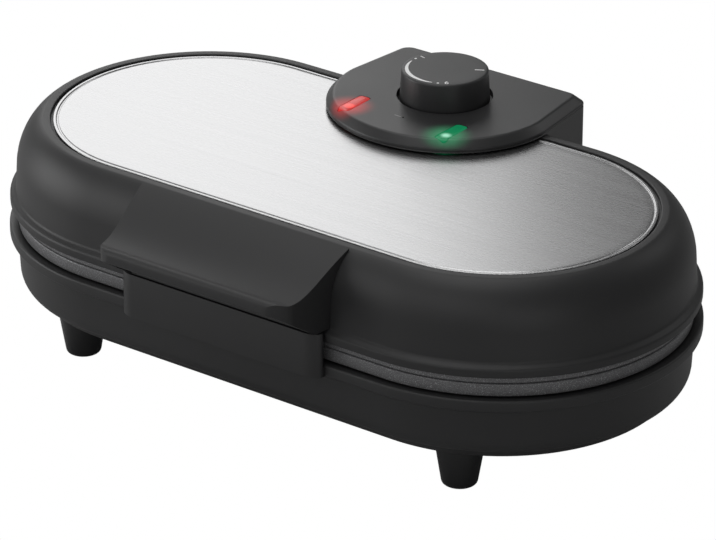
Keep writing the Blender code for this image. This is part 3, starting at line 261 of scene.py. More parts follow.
def circle(radius, steps=64, centre=(0.0, 0.0)):
    return [on_circle(centre, radius, 2 * math.pi * i / steps) for i in range(steps)]


def rectangle(low, high):
    return [low, (high[0], low[1]), high, (low[0], high[1])]


def middle(low, high):
    """Middle of a box, seen from above."""
    return (low.x + high.x) / 2, (low.y + high.y) / 2


def arc(centre, reach, first, last, steps):
    """Points on an ellipse between two angles, in degrees."""
    points = []
    for i in range(steps + 1):
        angle = math.radians(first + (last - first) * i / steps)
        points.append((centre[0] + reach[0] * math.cos(angle), centre[1] + reach[1] * math.sin(angle)))
    return points


def soften(points, steps=4):
    """Round the corners of an open line of (radius, height, rounding) points."""
    line = []
    last = len(points) - 1
    for i, (x, y, size) in enumerate(points):
        here = Vector((x, y))
        if i in (0, last) or size <= 0:
            line.append((x, y))
            continue
        before = Vector(points[i - 1][:2]) - here
        after = Vector(points[i + 1][:2]) - here
        reach = min(size, before.length * CORNER_SHARE, after.length * CORNER_SHARE)
        a = here + before.normalized() * reach
        b = here + after.normalized() * reach
        for k in range(steps + 1):
            t = k / steps
            point = a * (1 - t) ** 2 + here * 2 * t * (1 - t) + b * t ** 2
            line.append((point.x, point.y))
    return line


# Meshes

def join_loops(bm, loops, closed=False):
    count = len(loops[0])
    pairs = list(zip(loops, loops[1:]))
    if closed:
        pairs.append((loops[-1], loops[0]))
    for low, high in pairs:
        for i in range(count):
            j = (i + 1) % count
            bm.faces.new((low[i], low[j], high[j], high[i]))
    if not closed:
        bm.faces.new(list(reversed(loops[0])))
        bm.faces.new(loops[-1])


def stack(bm, outlines, closed=False):
    """Walls through (outline, height) pairs."""
    join_loops(bm, [[bm.verts.new((x, y, z)) for x, y in outline] for outline, z in outlines], closed)


def along_x(bm, profile, x_low, x_high):
    """A (y, z) outline drawn out along X."""
    join_loops(bm, [[bm.verts.new((x, y, z)) for y, z in profile] for x in (x_low, x_high)])


def add_object(name, data):
    obj = bpy.data.objects.new(name, data)
    bpy.context.scene.collection.objects.link(obj)
    return obj


def smooth(mesh):
    mesh.shade_smooth()
    mesh.set_sharp_from_angle(angle=math.radians(SHARP_ANGLE))


def new_object(name, bm, mat=None):
    bmesh.ops.recalc_face_normals(bm, faces=bm.faces)
    mesh = bpy.data.meshes.new(name)
    bm.to_mesh(mesh)
    bm.free()
    smooth(mesh)
    obj = add_object(name, mesh)
    if mat is not None:
        mesh.materials.append(mat)
    return obj


def prisms(name, outlines, low, high, mat=None):
    """Upright blocks between two heights, one on each outline."""
    bm = bmesh.new()
    for outline in outlines:
        stack(bm, [(outline, low), (outline, high)])
    return new_object(name, bm, mat)


def bars(name, profile, spans, mat=None):
    """Bars along X with one (y, z) outline, each between two places."""
    bm = bmesh.new()
    for x_low, x_high in spans:
        along_x(bm, profile, x_low, x_high)
    return new_object(name, bm, mat)


def stadium_loft(name, profile, mat=None, closed=False, steps=None):
    bm = bmesh.new()
    stack(bm, [(stadium(radius, steps), z) for radius, z in profile], closed)
    return new_object(name, bm, mat)


def turned(name, profile, centre=(0.0, 0.0), steps=96, closed=False, mat=None):
    bm = bmesh.new()
    stack(bm, [(circle(radius, steps, centre), z) for radius, z in profile], closed)
    return new_object(name, bm, mat)


def plain_mesh(obj):
    """The mesh of an object after its modifiers."""
    bpy.context.view_layer.update()
    graph = bpy.context.evaluated_depsgraph_get()
    return bpy.data.meshes.new_from_object(obj.evaluated_get(graph), depsgraph=graph)


def settle(obj):
    """Turn modifiers into a plain mesh."""
    mesh = plain_mesh(obj)
    obj.modifiers.clear()
    obj.data = mesh
    mesh.name = obj.name
    smooth(mesh)
    return obj


def carve(obj, tool, operation="DIFFERENCE"):
    """One Boolean step, after which the tool is gone."""
    step = obj.modifiers.new("carve", "BOOLEAN")
    step.operation = operation
    step.solver = "EXACT"
    step.object = tool
    settle(obj)
    bpy.data.objects.remove(tool, do_unlink=True)
    return obj


def round_edges(obj, width, segments=3):
    bevel = obj.modifiers.new("soft edges", "BEVEL")
    bevel.width = width
    bevel.segments = segments
    bevel.limit_method = "ANGLE"
    bevel.angle_limit = math.radians(BEVEL_ANGLE)
    return settle(obj)


def hand_over(obj, body, slot, *nodes):
    """Parent a finished piece to the body that it rides on and hide the solids that it stands for; the finish slot
    is not used.
    """
    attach(obj, body)
    if nodes:
        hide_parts(*nodes)
    return obj


# Geometry Nodes

def copies_tree():
    """A tree that sets one piece on every point, then makes the copies real."""
    tree = bpy.data.node_groups.get("copies_on_places")
    if tree:
        return tree
    tree = bpy.data.node_groups.new("copies_on_places", "GeometryNodeTree")
    kinds = {"Geometry": "Geometry", "Piece": "Object", "Size": "Float", "Finish": "Material"}
    for name, kind in kinds.items():
        tree.interface.new_socket(name=name, in_out="INPUT", socket_type="NodeSocket" + kind)
    tree.interface.new_socket(name="Geometry", in_out="OUTPUT", socket_type="NodeSocketGeometry")
    nodes, links = tree.nodes, tree.links
    inside = nodes.new("NodeGroupInput")
    info = nodes.new("GeometryNodeObjectInfo")
    copy = nodes.new("GeometryNodeInstanceOnPoints")
    real = nodes.new("GeometryNodeRealizeInstances")
    paint = nodes.new("GeometryNodeSetMaterial")
    outside = nodes.new("NodeGroupOutput")
    links.new(inside.outputs["Piece"], info.inputs["Object"])
    links.new(inside.outputs["Geometry"], copy.inputs["Points"])
    links.new(info.outputs["Geometry"], copy.inputs["Instance"])
    links.new(inside.outputs["Size"], copy.inputs["Scale"])
    links.new(copy.outputs["Instances"], real.inputs["Geometry"])
    links.new(real.outputs["Geometry"], paint.inputs["Geometry"])
    links.new(inside.outputs["Finish"], paint.inputs["Material"])
    links.new(paint.outputs["Geometry"], outside.inputs["Geometry"])
    return tree


def copies(name, piece, places, mat):
    """A mesh with a copy of the piece at each place; the piece itself is used up."""
    mesh = bpy.data.meshes.new(name)
    mesh.from_pydata([tuple(place) for place in places], [], [])
    obj = add_object(name, mesh)
    tree = copies_tree()
    sockets = {item.name: item.identifier for item in tree.interface.items_tree if item.in_out == "INPUT"}
    step = obj.modifiers.new("copies", "NODES")
    step.node_group = tree
    step[sockets["Piece"]] = piece
    step[sockets["Size"]] = 1.0
    step[sockets["Finish"]] = mat
    settle(obj)
    bpy.data.objects.remove(piece, do_unlink=True)
    return obj


# Node groups

def made_once(build):
    """Keep a node group under its function's name, so that it is built only the first time."""
    def get():
        return bpy.data.node_groups.get(build.__name__) or build()
    return get


FINISH_OUTPUTS = {"Color": "Color", "Roughness": "Float", "Height": "Float"}


def group_tree(name, inputs, outputs):
    """A new node group with the named inputs and outputs of these kinds."""
    tree = bpy.data.node_groups.new(name, "ShaderNodeTree")
    for direction, sockets in (("INPUT", inputs), ("OUTPUT", outputs)):
        for label, kind in sockets.items():
            tree.interface.new_socket(name=label, in_out=direction, socket_type="NodeSocket" + kind)
    return tree, tree.nodes.new("NodeGroupInput"), tree.nodes.new("NodeGroupOutput")


def feed(tree, socket, value):
    """Link a socket to another, or set it to a plain value."""
    if isinstance(value, bpy.types.NodeSocket):
        tree.links.new(value, socket)
    else:
        socket.default_value = value


def set_inputs(node, values):
    for label, value in values.items():
        node.inputs[label].default_value = value


def math_node(tree, operation, a, b=None):
    node = tree.nodes.new("ShaderNodeMath")
    node.operation = operation
    for socket, value in zip(node.inputs, (a, b)):
        if value is not None:
            feed(tree, socket, value)
    return node.outputs[0]


def around_half(tree, value, amount):
    """How far the value is from one half, times an amount."""
    return math_node(tree, "MULTIPLY", math_node(tree, "SUBTRACT", value, 0.5), amount)


def scaled(tree, value, factor, start):
    """The value times a factor, above a start value."""
    return math_node(tree, "ADD", math_node(tree, "MULTIPLY", value, factor), start)


def noise_node(tree, vector, scale, detail, roughness):
    node = tree.nodes.new("ShaderNodeTexNoise")
    tree.links.new(vector, node.inputs["Vector"])
    feed(tree, node.inputs["Scale"], scale)
    set_inputs(node, {"Detail": detail, "Roughness": roughness})
    return node.outputs["Fac"]


def mixed_colors(tree, factor, a, b, blend="MIX"):
    mix = tree.nodes.new("ShaderNodeMix")
    mix.data_type = "RGBA"
    mix.blend_type = blend
    for label, value in (("Factor", factor), ("A", a), ("B", b)):
        feed(tree, mix.inputs[label], value)
    return mix.outputs["Result"]


def dimmed(tree, color, level):
    """The colour times a grey level."""
    shade = tree.nodes.new("ShaderNodeCombineColor")
    for socket in shade.inputs:
        tree.links.new(level, socket)
    return mixed_colors(tree, 1.0, color, shade.outputs["Color"], "MULTIPLY")


def stretched(tree, vector, scale):
    node = tree.nodes.new("ShaderNodeMapping")
    node.inputs["Scale"].default_value = scale
    tree.links.new(vector, node.inputs["Vector"])
    return node.outputs["Vector"]


def finish_outputs(tree, outside, color, roughness, height):
    for label, value in (("Color", color), ("Roughness", roughness), ("Height", height)):
        tree.links.new(value, outside.inputs[label])


@made_once
def moulded_grain():
    """Fine spark-eroded grain of moulded plastic, with slow changes of sheen."""
    inputs = {"Vector": "Vector", "Color": "Color", "Roughness": "Float", "Grain Scale": "Float",
              "Variation": "Float"}
    tree, inside, outside = group_tree("moulded_grain", inputs, FINISH_OUTPUTS)
    vector = inside.outputs["Vector"]
    grain = noise_node(tree, vector, inside.outputs["Grain Scale"], detail=2.0, roughness=0.6)
    sheen = noise_node(tree, vector, scale=22.0, detail=3.0, roughness=0.5)
    spread = around_half(tree, sheen, inside.outputs["Variation"])
    speck = around_half(tree, grain, amount=0.10)
    rough = math_node(tree, "ADD", inside.outputs["Roughness"], math_node(tree, "ADD", spread, speck))
    level = scaled(tree, grain, factor=0.36, start=0.82)
    finish_outputs(tree, outside, dimmed(tree, inside.outputs["Color"], level), rough, grain)
    return tree


@made_once
def speckled_coating():
    """Non-stick coating: fine metallic specks in a dark film over a slightly uneven casting."""
    inputs = {"Vector": "Vector", "Film": "Color", "Speck": "Color", "Roughness": "Float"}
    tree, inside, outside = group_tree("speckled_coating", inputs, FINISH_OUTPUTS)
    vector = inside.outputs["Vector"]
    fine = noise_node(tree, vector, scale=2600.0, detail=1.0, roughness=0.5)
    wide = noise_node(tree, vector, scale=90.0, detail=3.0, roughness=0.55)
    specks = tree.nodes.new("ShaderNodeMapRange")
    set_inputs(specks, {"From Min": 0.56, "From Max": 0.70})
    tree.links.new(fine, specks.inputs["Value"])
    color = mixed_colors(tree, specks.outputs["Result"], inside.outputs["Film"], inside.outputs["Speck"])
    rough = math_node(tree, "ADD", inside.outputs["Roughness"], around_half(tree, wide, amount=0.22))
    height = math_node(tree, "ADD", math_node(tree, "MULTIPLY", fine, 0.5), wide)
    finish_outputs(tree, outside, color, rough, height)
    return tree


@made_once
def brushed_lines():
    """Long fine scratches along X, as on brushed or drawn metal."""
    inputs = {"Vector": "Vector", "Color": "Color", "Roughness": "Float", "Contrast": "Float"}
    tree, inside, outside = group_tree("brushed_lines", inputs, FINISH_OUTPUTS)
    fine_scale, broad_scale = (9.0, 1500.0, 900.0), (2.5, 240.0, 100.0)
    fine_share, broad_share = 0.7, 0.3
    vector = inside.outputs["Vector"]
    lines = noise_node(tree, stretched(tree, vector, fine_scale), scale=1.0, detail=5.0, roughness=0.7)
    bands = noise_node(tree, stretched(tree, vector, broad_scale), scale=1.0, detail=3.0, roughness=0.6)
    both = math_node(tree, "ADD", math_node(tree, "MULTIPLY", lines, fine_share),
                     math_node(tree, "MULTIPLY", bands, broad_share))
    level = math_node(tree, "ADD", around_half(tree, both, inside.outputs["Contrast"]), 1.0)
    rough = math_node(tree, "ADD", inside.outputs["Roughness"], around_half(tree, both, amount=0.14))
    finish_outputs(tree, outside, dimmed(tree, inside.outputs["Color"], level), rough, both)
    return tree


@made_once
def lamp_glow():
    """Light that falls off from a lamp's middle, between an edge colour and a middle colour."""
    inputs = {"Vector": "Vector", "Middle": "Vector", "Reach": "Float", "Edge Color": "Color",
              "Middle Color": "Color"}
    tree, inside, outside = group_tree("lamp_glow", inputs, {"Color": "Color"})
    downward_fall = (1.0, 1.0, 2.2)
    away = inside.outputs["Vector"]
    for operation, other in (("SUBTRACT", inside.outputs["Middle"]), ("MULTIPLY", downward_fall)):
        step = tree.nodes.new("ShaderNodeVectorMath")
        step.operation = operation
        tree.links.new(away, step.inputs[0])
        feed(tree, step.inputs[1], other)
        away = step.outputs["Vector"]
    distance = tree.nodes.new("ShaderNodeVectorMath")
    distance.operation = "LENGTH"
    tree.links.new(away, distance.inputs[0])
    fall = tree.nodes.new("ShaderNodeMapRange")
    fall.interpolation_type = "SMOOTHERSTEP"
    set_inputs(fall, {"From Min": 1.0, "From Max": 0.0})
    share = math_node(tree, "DIVIDE", distance.outputs["Value"], inside.outputs["Reach"])
    tree.links.new(share, fall.inputs["Value"])
    ribs = noise_node(tree, inside.outputs["Vector"], scale=420.0, detail=2.0, roughness=0.5)
    level = math_node(tree, "MULTIPLY", fall.outputs["Result"], scaled(tree, ribs, factor=0.5, start=0.72))
    color = mixed_colors(tree, level, inside.outputs["Edge Color"], inside.outputs["Middle Color"])
    tree.links.new(color, outside.inputs["Color"])
    return tree


# Materials

def new_material(name):
    mat = bpy.data.materials.new(name)
    mat.use_nodes = True
    tree = mat.node_tree
    where = tree.nodes.new("ShaderNodeTexCoord")
    return mat, tree, tree.nodes["Principled BSDF"], where.outputs["Object"]


def place_group(tree, group, vector):
    node = tree.nodes.new("ShaderNodeGroup")
    node.node_tree = group
    tree.links.new(vector, node.inputs["Vector"])
    return node


def add_bump(tree, shader, height, strength, distance=None):
    bump = tree.nodes.new("ShaderNodeBump")
    bump.inputs["Strength"].default_value = strength
    if distance is not None:
        bump.inputs["Distance"].default_value = distance
    tree.links.new(height, bump.inputs["Height"])
    tree.links.new(bump.outputs["Normal"], shader.inputs["Normal"])


def connect_finish(tree, shader, effect, bump, distance):
    add_bump(tree, shader, effect.outputs["Height"], bump, distance)
    tree.links.new(effect.outputs["Color"], shader.inputs["Base Color"])
    tree.links.new(effect.outputs["Roughness"], shader.inputs["Roughness"])


def plastic_finish(name, color, roughness, grain, bump, variation=0.08):
    mat, tree, shader, vector = new_material(name)
    effect = place_group(tree, moulded_grain(), vector)
    set_inputs(effect, {"Color": (*color, 1.0), "Roughness": roughness, "Grain Scale": grain,
                        "Variation": variation})
    connect_finish(tree, shader, effect, bump, distance=0.00005)
    return mat


def cast_finish(name, film, speck, roughness):
    mat, tree, shader, vector = new_material(name)
    effect = place_group(tree, speckled_coating(), vector)
    set_inputs(effect, {"Film": (*film, 1.0), "Speck": (*speck, 1.0), "Roughness": roughness})
    shader.inputs["Metallic"].default_value = 0.35
    connect_finish(tree, shader, effect, bump=0.35, distance=0.0001)
    return mat


def metal_finish(name, color, roughness, contrast, bump):
    mat, tree, shader, vector = new_material(name)
    effect = place_group(tree, brushed_lines(), vector)
    set_inputs(effect, {"Color": (*color, 1.0), "Roughness": roughness, "Contrast": contrast})
    shader.inputs["Metallic"].default_value = 1.0
    connect_finish(tree, shader, effect, bump, distance=0.00004)
    return mat


def glow_node(tree, vector, side, reach, edge, core, shift):
    """One glow round the lamp on that side of the console."""
    glow = place_group(tree, lamp_glow(), vector)
    x, y = middle(lens_low, lens_high)
    place = (x * side, y + shift, console_high.z)
    set_inputs(glow, {"Middle": place, "Reach": reach, "Edge Color": (*edge, 1.0),
                      "Middle Color": (*core, 1.0)})
    return glow.outputs["Color"]


def add_halos(mat):
    """Faint light of the two lamps on the plastic round them."""
    tree = mat.node_tree
    shader = tree.nodes["Principled BSDF"]
    where = tree.nodes.new("ShaderNodeTexCoord").outputs["Object"]
    lens_length = lens_high.y - lens_low.y
    reach, shift = lens_length * 0.80, -lens_length * 0.22
    dark, red, green = (0.0, 0.0, 0.0), (0.42, 0.012, 0.012), (0.010, 0.22, 0.085)
    lamps = ((-1, red), (1, green))
    halos = [glow_node(tree, where, side, reach, dark, color, shift) for side, color in lamps]
    tree.links.new(mixed_colors(tree, 1.0, *halos, "ADD"), shader.inputs["Emission Color"])
    shader.inputs["Emission Strength"].default_value = 1.0
    return mat


def lamp_finish(name, color, glow, strength, side, shift):
    """Tinted lens lit from behind, brightest over its lamp."""
    reach_share, edge_share = 0.62, 0.5
    mat, tree, shader, vector = new_material(name)
    edge = [channel * edge_share for channel in color]
    light = glow_node(tree, vector, side, (lens_high.x - lens_low.x) * reach_share, edge, glow, shift)
    tree.links.new(light, shader.inputs["Emission Color"])
    set_inputs(shader, {"Emission Strength": strength, "Base Color": (*color, 1.0), "Roughness": 0.30,
                        "Specular IOR Level": 0.3})
    return mat


def glass_finish(name, color):
    mat, tree, shader, vector = new_material(name)
    set_inputs(shader, {"Base Color": (*color, 1.0), "Transmission Weight": 0.9, "Roughness": 0.05})
    ripple = noise_node(tree, vector, scale=300.0, detail=1.0, roughness=0.5)
    add_bump(tree, shader, ripple, strength=0.05)
    return mat


def finish(name):
    """The material of that name, made the first time it is asked for."""
    mat = bpy.data.materials.get(name)
    if mat:
        return mat
    for maker, rows in finish_tables(settings().finish):
        if name in rows:
            return maker(name, *rows[name])
    raise KeyError(name)


def haloed_finish(name, *values):
    return add_halos(plastic_finish(name, *values))


def finish_tables(colors):
    """Makers of finishes, each with the values that it takes for every finish it makes."""
    return (
        # Colour, roughness, scale of the grain, strength of the bump
        (plastic_finish, {
            "matt_shell": (colors.shell, 0.50, 2000.0, 0.22),
            "grained_grip": (colors.shell, 0.56, 1500.0, 0.35),
            "satin_inner": (colors.satin, 0.42, 2600.0, 0.14),
            "satin_knob": (colors.satin, 0.44, 2600.0, 0.14),
            "foot_plastic": (colors.foot, 0.30, 1200.0, 0.08),
            "fired_ceramic": ((0.74, 0.72, 0.66), 0.55, 700.0, 0.2),
            "woven_sleeve": ((0.60, 0.58, 0.52), 0.75, 1800.0, 0.6),
            "grey_print": ((0.22, 0.22, 0.22), 0.55, 3000.0, 0.05),
            "white_print": (colors.mark, 0.55, 3000.0, 0.05),
        }),
        (haloed_finish, {"satin_console": (colors.satin, 0.42, 2600.0, 0.14)}),
        # Colour of the film, colour of the specks, roughness
        (cast_finish, {"coated_cast": (colors.cast, (0.34, 0.34, 0.35), 0.46)}),
        # Colour, roughness, contrast of the lines, strength of the bump
        (metal_finish, {
            "brushed_panel": (colors.steel, 0.27, 0.06, 0.03),
            "drawn_sheet": ((0.56, 0.57, 0.58), 0.38, 0.10, 0.08),
            "zinc": ((0.46, 0.47, 0.50), 0.36, 0.10, 0.08),
        }),
        # Colour, glow, its strength, side of the console, shift of the lamp along Y
        (lamp_finish, {
            "red_lamp": (colors.red, (1.0, 0.08, 0.06), 1.0, -1, -0.0034),
            "green_lamp": (colors.green, (0.50, 0.90, 0.70), 0.80, 1, -0.0040),
        }),
        (glass_finish, {"lamp_glass": ((0.92, 0.80, 0.72),)}),
    )


# Shared shapes of the housings

def lid_outside(extra=0.0, steps=14):
    """Outside of the lid from its lip up to the rim, as (radius, height, rounding)."""
    s = settings().shell
    lip_top = lid_low_z() + s.lip_height
    shoulder_z = lid_low_z() + s.wall_height
    centre = s.lid_wall_radius - s.lid_lean - s.shoulder_depth
    end = math.degrees(math.acos((s.rim_radius - centre) / s.shoulder_depth))
    curve = arc((centre, shoulder_z), (s.shoulder_depth + extra, s.shoulder_height + extra), 0.0, end, steps)
    (x0, y0), (x1, y1) = curve[0], curve[-1]
    flat = s.shoulder_flat
    curve = [(x + (x0 + (x1 - x0) * i / steps - x) * flat, y + (y0 + (y1 - y0) * i / steps - y) * flat)
             for i, (x, y) in enumerate(curve)]
    return [
        (lid_lip_radius + extra, lid_low_z() - extra, s.soft),
        (lid_lip_radius + extra, lip_top, s.soft * 1.4),
        (s.lid_wall_radius + extra, lip_top + s.lip_slope, s.soft * 1.6),
    ] + [(x, y, 0.0) for x, y in curve]


def lid_low_z():
    return upper_edge_top() + GAP


def upper_edge_top():
    """Top of the upper plate's edge: the lid's lower edge sits just over it."""
    return lower_high.z + GAP + UPPER_EDGE


def lid_envelope(name):
    """The lid's outside grown by the assembly clearance, to cut what sits against it."""
    s = settings().shell
    profile = [point[:2] for point in lid_outside(GAP)]
    profile.append((s.rim_radius - s.soft, lid_high.z + GAP))
    return stadium_loft(name, profile)


def well_plan():
    """Opening of the lid and panel under the console."""
    inset = 0.0098
    half = console_high.x - inset
    front = arc((0.0, knob_axis.y), (half, knob_axis.y - console_low.y - inset), 180.0, 360.0, 40)
    return front + [(half, console_high.y), (-half, console_high.y)]


def console_plan(inset=0.0, steps=72):
    """Plan of the console: round in front, square with rounded corners behind."""
    c = settings().console
    half = console_high.x - inset
    front = arc((0.0, knob_axis.y), (half, knob_axis.y - console_low.y - inset), 180.0, 360.0, steps)
    back = console_high.y - inset
    right = arc((half - c.taper - c.corner, back - c.corner), (c.corner, c.corner), 0.0, 90.0, 12)
    return front + right + [(-x, y) for x, y in reversed(right)]


def console_body(name, extra=0.0):
    """Outer form of the console with its fine groove, bevel and rounded top edge."""
    c = settings().console
    groove_height, groove_share, groove_slope = 0.42, 0.7, 0.4
    bend_in, bend_down = 0.80, 0.10
    bevel_soft, top_soft, top_strip = 0.0012, 0.0006, 0.0012
    top = console_high.z
    bevel_z = top - c.bevel_height
    groove_z = lid_high.z + (bevel_z - lid_high.z) * groove_height
    b = c.band / 2
    levels = [
        (0.0, console_low.z, 0.0),
        (0.0, groove_z - b, 0.0), (b * groove_share, groove_z - b * groove_slope, 0.0),
        (b * groove_share, groove_z + b * groove_slope, 0.0), (0.0, groove_z + b, 0.0),
        (0.0, bevel_z, bevel_soft),
        (c.bevel_in * bend_in, top - c.bevel_height * bend_down, bevel_soft), (c.bevel_in, top, top_soft),
        (c.bevel_in + top_strip, top, 0.0),
    ]
    line = soften(levels, 5)
    bm = bmesh.new()
    stack(bm, [(console_plan(inset), z + extra) for inset, z in line])
    return new_object(name, bm)


def slot_plan(side, grow=0.0):
    """Plan of one lamp slot."""
    c = settings().console
    centre_x, y = middle(lens_low, lens_high)
    x = side * centre_x
    half_x = (lens_high.x - lens_low.x) / 2 + grow
    half_y = (lens_high.y - lens_low.y) / 2 + grow
    r = c.lens_bend
    corner = arc((half_x - r, half_y - r), (r, r), 0.0, 90.0, 6)
    ring = corner + [(-px, py) for px, py in reversed(corner)]
    ring += [(-px, -py) for px, py in corner] + [(px, -py) for px, py in reversed(corner)]
    return [(x + px, y + py) for px, py in ring]


def hinge_part(name, outline, spans, bores, body, node):
    """Ears or knuckles with one outline, bored for the hinge pins."""
    part = bars(name, outline, spans, finish("matt_shell"))
    carve(part, bars("pin_bore", circle(HINGE_BORE, 32, pin_axis), bores))
    round_edges(part, HINGE_SOFT, 2)
    hand_over(part, body, "matte_black_plastic", node)


def screw_names(prefix):
    return sorted(name for name in frame["nodes"] if name.startswith(prefix))


# Operators

class PieceOperator:
    """Shared parts of the operators."""
    bl_options = {"REGISTER", "UNDO"}


class PANCAKE_OT_base(PieceOperator, bpy.types.Operator):
    """Base housing: rounded ring wall with its rim band, front tab and hinge ears"""
    bl_idname = "pancake.base"
    bl_label = "Base housing"

    def execute(self, context):
        s = settings().shell
        top = s.base_height
        crease = top - s.base_rim_height
        turn_z = s.joint_height + s.base_turn_height
        edge = s.base_wall_radius - s.base_turn_in
        curve = arc((edge, turn_z), (s.base_turn_in, s.base_turn_height), -90.0, 0.0, 10)
        line = [(x, y, 0.0) for x, y in curve] + [
            (s.base_wall_radius + s.base_lean, crease - s.base_rim_slope, s.soft * 1.5),
            (base_rim_radius, crease, s.soft * 1.2),
            (base_rim_radius, top, s.soft * 1.6),
            (base_rim_radius - s.wall, top, s.soft),
            (s.base_wall_radius - s.wall, top - s.soft, s.soft),
            (s.base_wall_radius - s.wall, turn_z, 0.0),
            (edge - s.wall, s.joint_height, 0.0),
        ]
        shell = stadium_loft("base_shell", soften(line), finish("matt_shell"), closed=True)
        bore, reach, inset = 0.0053, 0.01, 0.006
        gland = turned("gland_bore", [(bore, -reach), (bore, reach)])
        place = (middle(gland_low, gland_high)[0], base_high.y - inset, (gland_low.z + gland_high.z) / 2)
        gland.matrix_world = Matrix.Translation(place) @ Matrix.Rotation(math.radians(90.0), 4, "X")
        bpy.context.view_layer.update()
        carve(shell, gland)
        hand_over(shell, "base", "matte_black_plastic", "base_housing")
        self.front_tab(s)
        self.hinge_ears(s)
        return {"FINISHED"}

    def front_tab(self, s):
        """Upright pad in front of the lid lip."""
        half, corner, lip_gap, soft = 0.0545, 0.0075, 0.0011, 0.0009
        back = middle_y - max(lid_lip_radius, base_rim_radius) - lip_gap
        foot = s.base_height - s.base_rim_height
        right = arc((half - corner, back), (corner, back - base_low.y), 0.0, -90.0, 14)
        plan = [(-x, y) for x, y in right] + right[::-1]
        tab = prisms("front_tab", [plan], foot, base_high.z, finish("matt_shell"))
        root = rectangle((-half, back - GAP), (half, middle_y - s.base_wall_radius + s.wall / 2))
        carve(tab, prisms("tab_root", [root], foot, s.base_height - s.soft), "UNION")
        round_edges(tab, soft)
        hand_over(tab, "base", "matte_black_plastic", "base_housing")

    def hinge_ears(self, s):
        """Ears that hold the hinge pins at the back of the base."""
        width, drop = 0.0056, 0.0048
        y, z = pin_axis
        low = s.base_height - drop
        root = middle_y + base_rim_radius - s.wall
        outline = [(root, low), (y - HINGE_RADIUS, low)]
        outline += arc(pin_axis, (HINGE_RADIUS, HINGE_RADIUS), -45.0, 135.0, 20)
        outline += [(y - HINGE_RADIUS, z), (middle_y + lid_lip_radius - GAP, s.base_height + GAP * 2),
                    (root, s.base_height)]
        reach = (pin_high.x - pin_low.x) / 2
        starts = (pin_x - reach, pin_x + reach - width)
        spans = [(side * x, side * (x + width)) for side in (-1, 1) for x in starts]
        bores = [(side * (pin_x - reach - OVERRUN), side * (pin_x + reach + OVERRUN)) for side in (-1, 1)]
        hinge_part("hinge_ears", outline, spans, bores, "base", "base_housing")


class PANCAKE_OT_cover(PieceOperator, bpy.types.Operator):
    """Bottom cover with its sloping edge, vents and screw holes"""
    bl_idname = "pancake.cover"
    bl_label = "Bottom cover"

    def execute(self, context):
        s = settings().shell
        thickness, lip_height, lip_width, hole_radius = 0.0025, 0.0050, 0.0022, 0.0018
        under_strip, floor_strip = 0.004, 0.006
        low = cover_low.z
        floor = low + thickness
        joint = s.joint_height - GAP
        edge = s.base_wall_radius - s.base_turn_in
        lip = edge - s.wall - GAP
        lip_top = s.joint_height + lip_height
        line = [
            (edge - s.cover_slope - under_strip, low, 0.0), (edge - s.cover_slope, low, s.soft * 1.5),
            (edge - GAP, joint, s.soft * 0.4), (lip, joint, 0.0), (lip, lip_top, s.soft * 0.5),
            (lip - lip_width, lip_top, s.soft * 0.5), (lip - lip_width, floor, s.soft),
            (lip - floor_strip, floor, 0.0),
        ]
        cover = stadium_loft("bottom_cover", soften(line), finish("matt_shell"))
        holes = [circle(hole_radius, 24, middle(*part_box(name)))
                 for name in screw_names("lower_plate_screw_") + screw_names("foot_screw_")]
        carve(cover, prisms("cover_cuts", self.vents() + holes, low - OVERRUN, floor + OVERRUN))
        hand_over(cover, "base", "matte_black_plastic", "base_bottom_cover")
        return {"FINISHED"}

    def vents(self):
        """Outlines of the slots with round ends, in two groups."""
        rows, pitch, out = 5, 0.0085, 0.070
        half_x, half_y = 0.015, 0.0015
        rings = []
        for side in (-1, 1):
            for row in range(rows):
                x, y = side * out, middle_y + (row - rows // 2) * pitch
                ring = arc((x + half_x - half_y, y), (half_y, half_y), -90.0, 90.0, 8)
                rings.append(ring + arc((x - half_x + half_y, y), (half_y, half_y), 90.0, 270.0, 8))
        return rings


class PANCAKE_OT_feet(PieceOperator, bpy.types.Operator):
    """Four tapering feet with rounded ends"""
    bl_idname = "pancake.feet"
    bl_label = "Feet"

    def execute(self, context):
        low_radius, well_radius, hole_radius, seat_depth = 0.0078, 0.0037, 0.0018, 0.006
        low_soft, top_soft = 0.0034, 0.0003
        top = foot_high.z
        top_radius = (foot_high.x - foot_low.x) / 2
        seat = top - seat_depth
        line = [
            (well_radius, 0.0, 0.0), (low_radius, 0.0, low_soft), (top_radius, top, top_soft),
            (hole_radius, top, 0.0), (hole_radius, seat, 0.0), (well_radius, seat, 0.0),
        ]
        foot = turned("foot", soften(line, 8), steps=64, closed=True)
        names = ["foot_" + name for name in ("front_left", "front_right", "rear_left", "rear_right")]
        places = [(*middle(*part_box(name)), 0.0) for name in names]
        feet = copies("feet", foot, places, finish("foot_plastic"))
        hand_over(feet, "base", "satin_black_plastic", *names)
        return {"FINISHED"}


